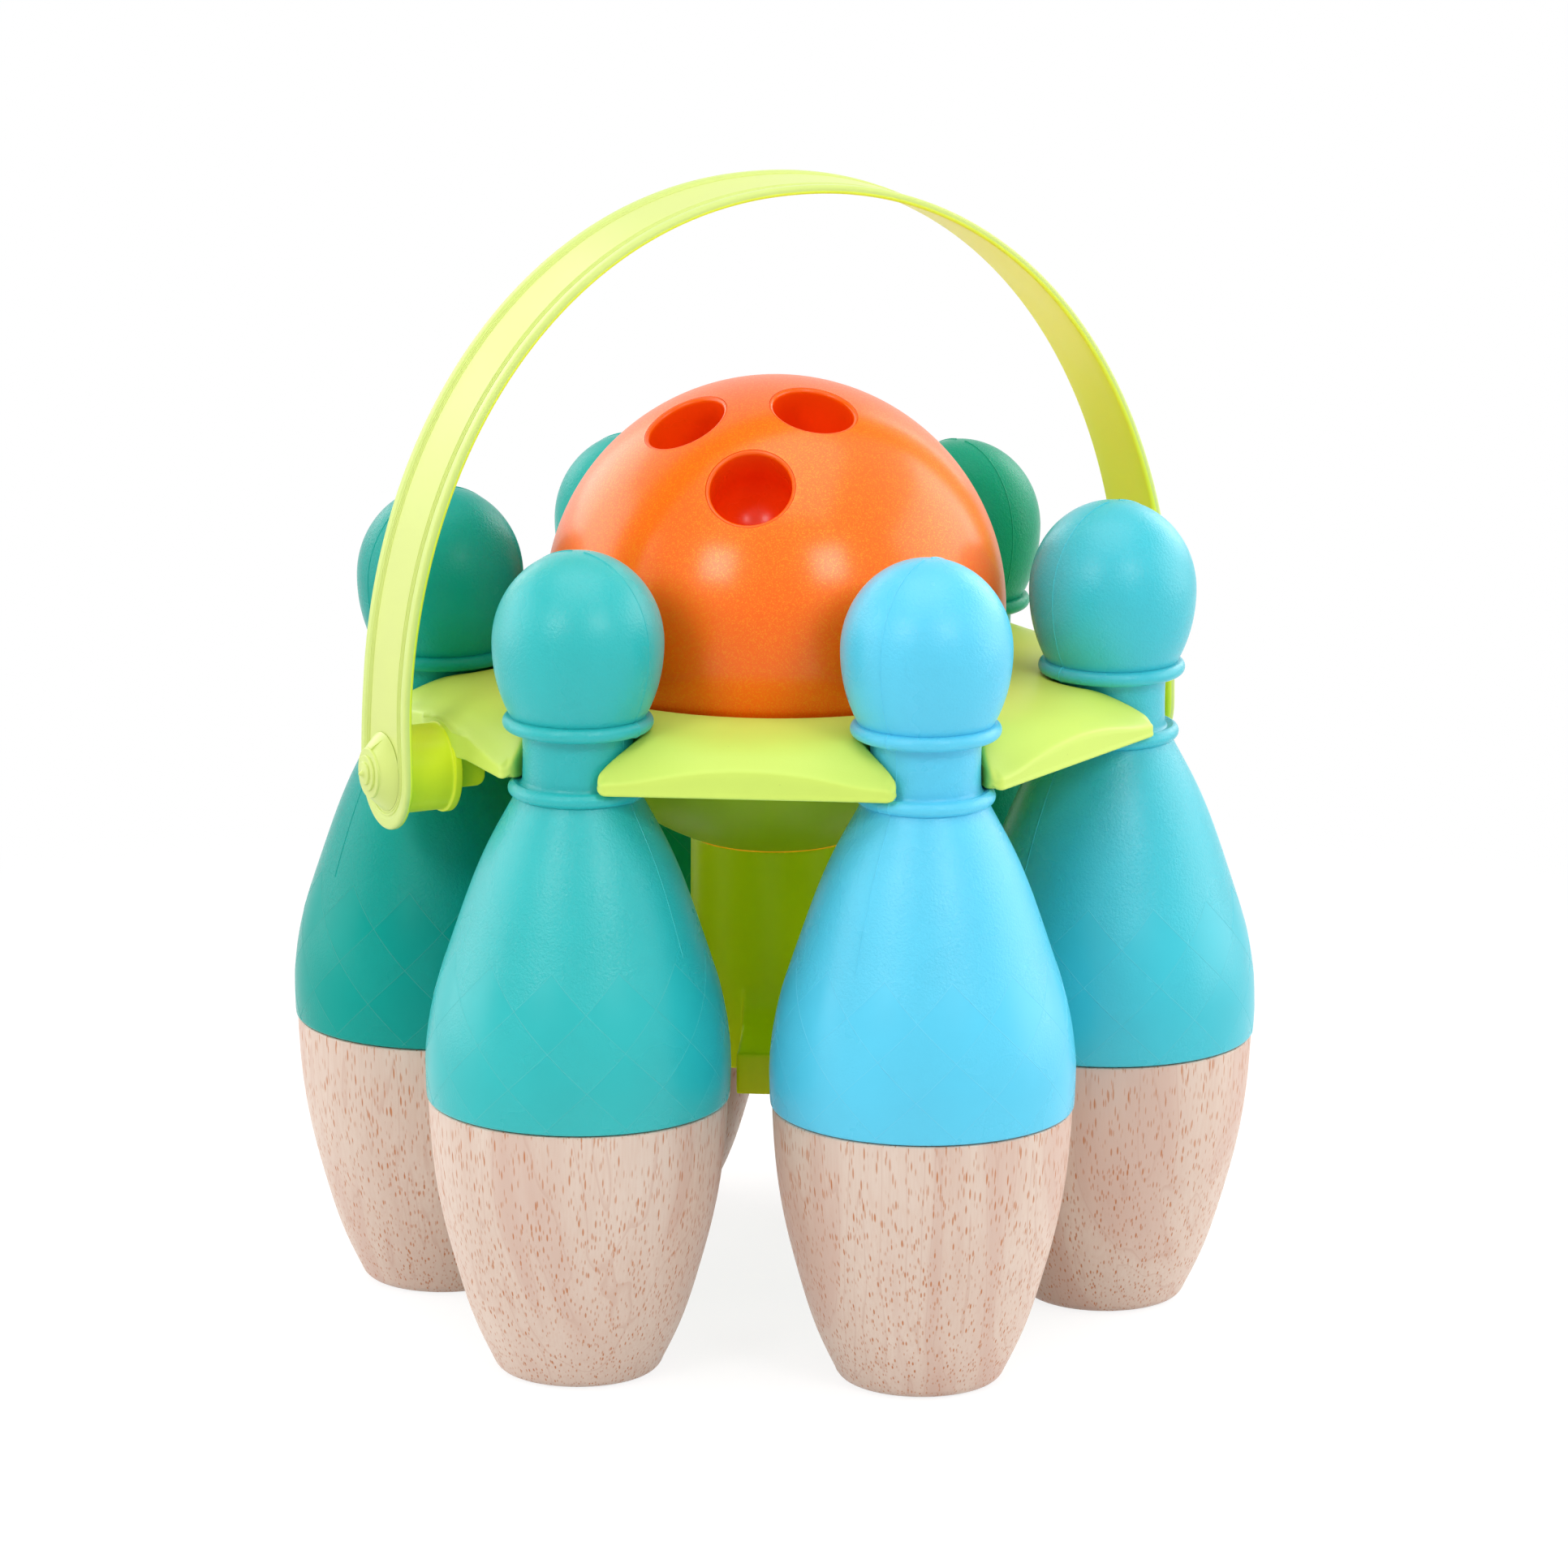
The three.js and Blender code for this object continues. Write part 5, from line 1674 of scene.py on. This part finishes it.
class BOWLING_OT_strap(bpy.types.Operator):
    """Make the strap with its bead and fine ribs"""

    bl_idname = "bowling.strap"
    bl_label = "Strap"

    def execute(self, context):
        settings = context.scene.bowling_handle
        strap = Strap(settings)
        pale = lime_material(
            "pale lime plastic", settings.lime, 0.6, 0.36, edge=settings.edge, sand_depth=0.004
        )
        mesh = strap_mesh(strap)
        show_piece("strap_band", mesh, pale, "handle", ["handle_strap"], crease=80)
        middle = mixed(settings.edge, settings.lime, 0.5)
        rib = lime_material("strap rib plastic", middle, 0.6, 0.4, sand_depth=0.002)
        tree = build_rib_tree()
        level = strap.thickness / 2 - STRAP_BEAD_DROP - 0.05
        for number in range(RIB_COUNT):
            along, across = strap.outline(STRAP_BEAD + 0.75 + number * RIB_PITCH)
            along = np.concatenate([along, along[-2::-1], -along[1:], -along[-2:0:-1]])
            across = np.concatenate([across, -across[-2::-1], -across[1:], across[-2:0:-1]])
            path = strap.place(along, across, level)
            name = f"strap_rib_{number + 1}"
            ribs = grow(name, polyline(name, path, closed=True), tree, {"Material": rib})
            show_piece(name, ribs, rib, "handle", crease=80)
        return {"FINISHED"}


def stud_outline(thickness):
    """Outline of a stud about the pivot axis, from the end of its post to its nub."""
    seat = STRAP_FACE - FIT_GAP
    knob = seat + CONE_HEIGHT
    tip = STRAP_FACE - thickness - FIT_GAP - POST_DEPTH
    points = [(0.0, tip), (POST_RADIUS - 0.4, tip), (POST_RADIUS, tip + 0.4), (POST_RADIUS, seat)]
    points += [(CONE_RADIUS - 0.2, seat), (CONE_RADIUS, seat + 0.2), (CONE_RADIUS - 0.25, seat + 0.5)]
    points += [(KNOB_RADIUS + 0.6, knob - 0.35), (KNOB_RADIUS + 0.15, knob - 0.05)]
    for outer, inner, low, high in ((1, 0.75, 0, 0.36), (0.72, 0.5, 0.36, 0.7), (0.47, 0.2, 0.7, 1)):
        edge = KNOB_RADIUS * outer
        top = knob + KNOB_HEIGHT * high
        points.append((edge, knob + KNOB_HEIGHT * low + 0.05))
        points += arc(edge - KNOB_ROUND, top - KNOB_ROUND, KNOB_ROUND, KNOB_ROUND, 0, 90, 4)
        points.append((KNOB_RADIUS * inner, top - 0.04))
    end = knob + KNOB_HEIGHT
    points += [
        (0.9, end + 0.2),
        (0.5, end + NUB_HEIGHT * 0.6),
        (0.25, end + NUB_HEIGHT * 0.9),
        (0.0, end + NUB_HEIGHT),
    ]
    return points


class BOWLING_OT_studs(bpy.types.Operator):
    """Make the two stepped studs on the pivot axis"""

    bl_idname = "bowling.studs"
    bl_label = "Studs"

    def execute(self, context):
        settings = context.scene.bowling_handle
        pale = lime_material("stud lime plastic", mixed(settings.edge, settings.lime, 0.5), 0.6, 0.34)
        rise = Matrix.Translation((0, 0, PIVOT_HEIGHT)) @ Matrix.Rotation(math.radians(FIN_TURN), 4, "X")
        seat = STRAP_FACE - FIT_GAP
        tip = seat + CONE_HEIGHT + 0.35
        fin = [(seat, CONE_RADIUS), (tip, KNOB_RADIUS + 0.5), (tip, KNOB_RADIUS - 1), (seat, KNOB_RADIUS - 1)]
        for label, turn in pivot_sides():
            name = f"stud_{label}"
            mesh = turned_mesh(name, stud_outline(settings.thickness / MM), 96, turn @ pivot_turn())
            show_piece(name, mesh, pale, "handle", [f"handle_{name}"], crease=40)
            mesh = prism_mesh(f"stud_fin_{label}", fin, FIN_WIDTH, turn @ rise)
            show_piece(f"stud_fin_{label}", mesh, pale, "handle")
        return {"FINISHED"}


# Stage


def softbox(name, place, target, size, radiance):
    """Area lamp of a given radiance that faces a target, in metres."""
    lamp = bpy.data.lights.new(name, "AREA")
    lamp.shape = "RECTANGLE"
    lamp.size, lamp.size_y = size
    lamp.energy = radiance * math.pi * size[0] * size[1]
    box = bpy.data.objects.new(name, lamp)
    box.location = place
    box.rotation_mode = "QUATERNION"
    box.rotation_quaternion = (Vector(target) - Vector(place)).to_track_quat("-Z", "Y")
    bpy.context.scene.collection.objects.link(box)


def seen_directly(tree):
    """1 for rays from the camera, from gloss and through glass, 0 for light that spreads."""
    path = tree.nodes.new("ShaderNodeLightPath")
    glossy = maths(tree, "MAXIMUM", path.outputs["Is Glossy Ray"], path.outputs["Is Transmission Ray"])
    return maths(tree, "MAXIMUM", path.outputs["Is Camera Ray"], glossy)


def floor_material():
    """Pale floor that turns to plain white for the camera away from the object."""
    material = bpy.data.materials.new("pale floor")
    material.use_nodes = True
    tree = material.node_tree
    tree.nodes.clear()
    place = tree.nodes.new("ShaderNodeTexCoord").outputs["Object"]
    far = ramp(tree, vector_length(tree, place), 0.16, 0.5)
    tone = blend_colour(tree, noise(tree, place, 90.0, 2.0), (0.83, 0.83, 0.83), (0.85, 0.85, 0.85))
    faint = add_node(tree, "ShaderNodeBsdfDiffuse", {"Color": (0.25, 0.25, 0.25, 1)})
    matt = add_node(tree, "ShaderNodeBsdfDiffuse", {"Color": tone})
    white = add_node(tree, "ShaderNodeEmission", {"Color": (1, 1, 1, 1), "Strength": 1.0})
    veil = add_node(tree, "ShaderNodeEmission", {"Color": (1, 1, 1, 1), "Strength": 0.83})
    lifted = add_node(tree, "ShaderNodeAddShader", {0: faint.outputs[0], 1: veil.outputs[0]})
    seen = add_node(tree, "ShaderNodeMixShader", {0: far, 1: lifted.outputs[0], 2: white.outputs[0]})
    both = add_node(
        tree, "ShaderNodeMixShader", {0: seen_directly(tree), 1: matt.outputs[0], 2: seen.outputs[0]}
    )
    result = tree.nodes.new("ShaderNodeOutputMaterial")
    tree.links.new(both.outputs[0], result.inputs["Surface"])
    return material


def make_floor(scene):
    """Level floor just under the pins' feet."""
    corners = [
        (x * FLOOR_REACH, y * FLOOR_REACH, -FLOOR_DROP) for x, y in ((-1, -1), (1, -1), (1, 1), (-1, 1))
    ]
    mesh = bpy.data.meshes.new("floor")
    mesh.from_pydata(corners, [], [[0, 1, 2, 3]])
    mesh.materials.append(floor_material())
    floor = bpy.data.objects.new("floor", mesh)
    scene.collection.objects.link(floor)


def make_surroundings(scene):
    """White surroundings for the camera, and a dimmer light from them on the object."""
    world = bpy.data.worlds.new("white studio")
    scene.world = world
    world.use_nodes = True
    tree = world.node_tree
    sky = tree.nodes["Background"]
    strength = add_node(
        tree, "ShaderNodeMix", {0: seen_directly(tree), 2: SKY_LIGHT, 3: 1.0}, data_type="FLOAT"
    )
    sky.inputs["Color"].default_value = (1, 1, 1, 1)
    tree.links.new(strength.outputs[0], sky.inputs["Strength"])


def make_lamps(settings):
    """Softboxes round the object, placed from the camera's heading."""
    facing = Vector((math.cos(settings.heading), math.sin(settings.heading), 0))
    aside = Vector((facing.y, -facing.x, 0))
    middle = Vector((0, 0, CAD_HIGH.z / 2))
    for name, turn, rise, size, radiance in lamp_places:
        turn, rise = math.radians(turn), math.radians(rise)
        level_way = aside * math.sin(turn) - facing * math.cos(turn)
        way = level_way * math.cos(rise) + Vector((0, 0, math.sin(rise)))
        softbox(name, middle + way * LAMP_DISTANCE, middle, (size, size), radiance * settings.lamps)


def make_camera(scene, settings):
    """Camera at the photograph's place and angle."""
    camera = bpy.data.cameras.new("camera")
    camera.lens = settings.lens
    camera.sensor_width = SENSOR_WIDTH
    camera.clip_end = 50.0
    eye = bpy.data.objects.new("camera", camera)
    eye.location = EYE_PLACE
    level = Euler((math.pi / 2 + settings.pitch, 0, settings.heading - math.pi / 2)).to_matrix()
    eye.rotation_mode = "QUATERNION"
    eye.rotation_quaternion = (level @ Matrix.Rotation(settings.roll, 3, "Z")).to_quaternion()
    scene.collection.objects.link(eye)
    scene.camera = eye


class BOWLING_OT_stage(bpy.types.Operator):
    """Make the floor, the lamps, the surroundings and the camera"""

    bl_idname = "bowling.stage"
    bl_label = "Stage"

    def execute(self, context):
        scene = context.scene
        make_floor(scene)
        make_surroundings(scene)
        make_lamps(scene.bowling_stage)
        make_camera(scene, scene.bowling_stage)
        scene.view_settings.view_transform = "Standard"
        return {"FINISHED"}


makers = (
    BOWLING_OT_pin_shells,
    BOWLING_OT_pin_bases,
    BOWLING_OT_ball,
    BOWLING_OT_tray,
    BOWLING_OT_column,
    BOWLING_OT_brackets,
    BOWLING_OT_strap,
    BOWLING_OT_studs,
    BOWLING_OT_stage,
)
setting_groups = {
    "bowling_pins": PinSettings,
    "bowling_ball": BallSettings,
    "bowling_carrier": CarrierSettings,
    "bowling_handle": HandleSettings,
    "bowling_stage": StageSettings,
}


class BOWLING_PT_panel(bpy.types.Panel):
    """Lists the makers of the set's pieces with their sizes"""

    bl_idname = "BOWLING_PT_panel"
    bl_label = "Toy Bowling Set"
    bl_space_type = "VIEW_3D"
    bl_region_type = "UI"
    bl_category = "Bowling"

    def draw(self, context):
        for maker in makers:
            self.layout.operator(maker.bl_idname)
        for name, group in setting_groups.items():
            box = self.layout.box()
            for key in group.__annotations__:
                box.prop(getattr(context.scene, name), key)


def register():
    for item in (*setting_groups.values(), *makers, BOWLING_PT_panel):
        bpy.utils.register_class(item)
    for name, group in setting_groups.items():
        setattr(bpy.types.Scene, name, PointerProperty(type=group))


def unregister():
    for name in setting_groups:
        delattr(bpy.types.Scene, name)
    for item in (BOWLING_PT_panel, *reversed(makers), *reversed(setting_groups.values())):
        bpy.utils.unregister_class(item)


def main():
    register()
    bpy.ops.bowling.pin_shells()
    bpy.ops.bowling.pin_bases()
    bpy.ops.bowling.ball()
    bpy.ops.bowling.tray()
    bpy.ops.bowling.column()
    bpy.ops.bowling.brackets()
    bpy.ops.bowling.strap()
    bpy.ops.bowling.studs()
    bpy.ops.bowling.stage()


if __name__ == "__main__":
    main()
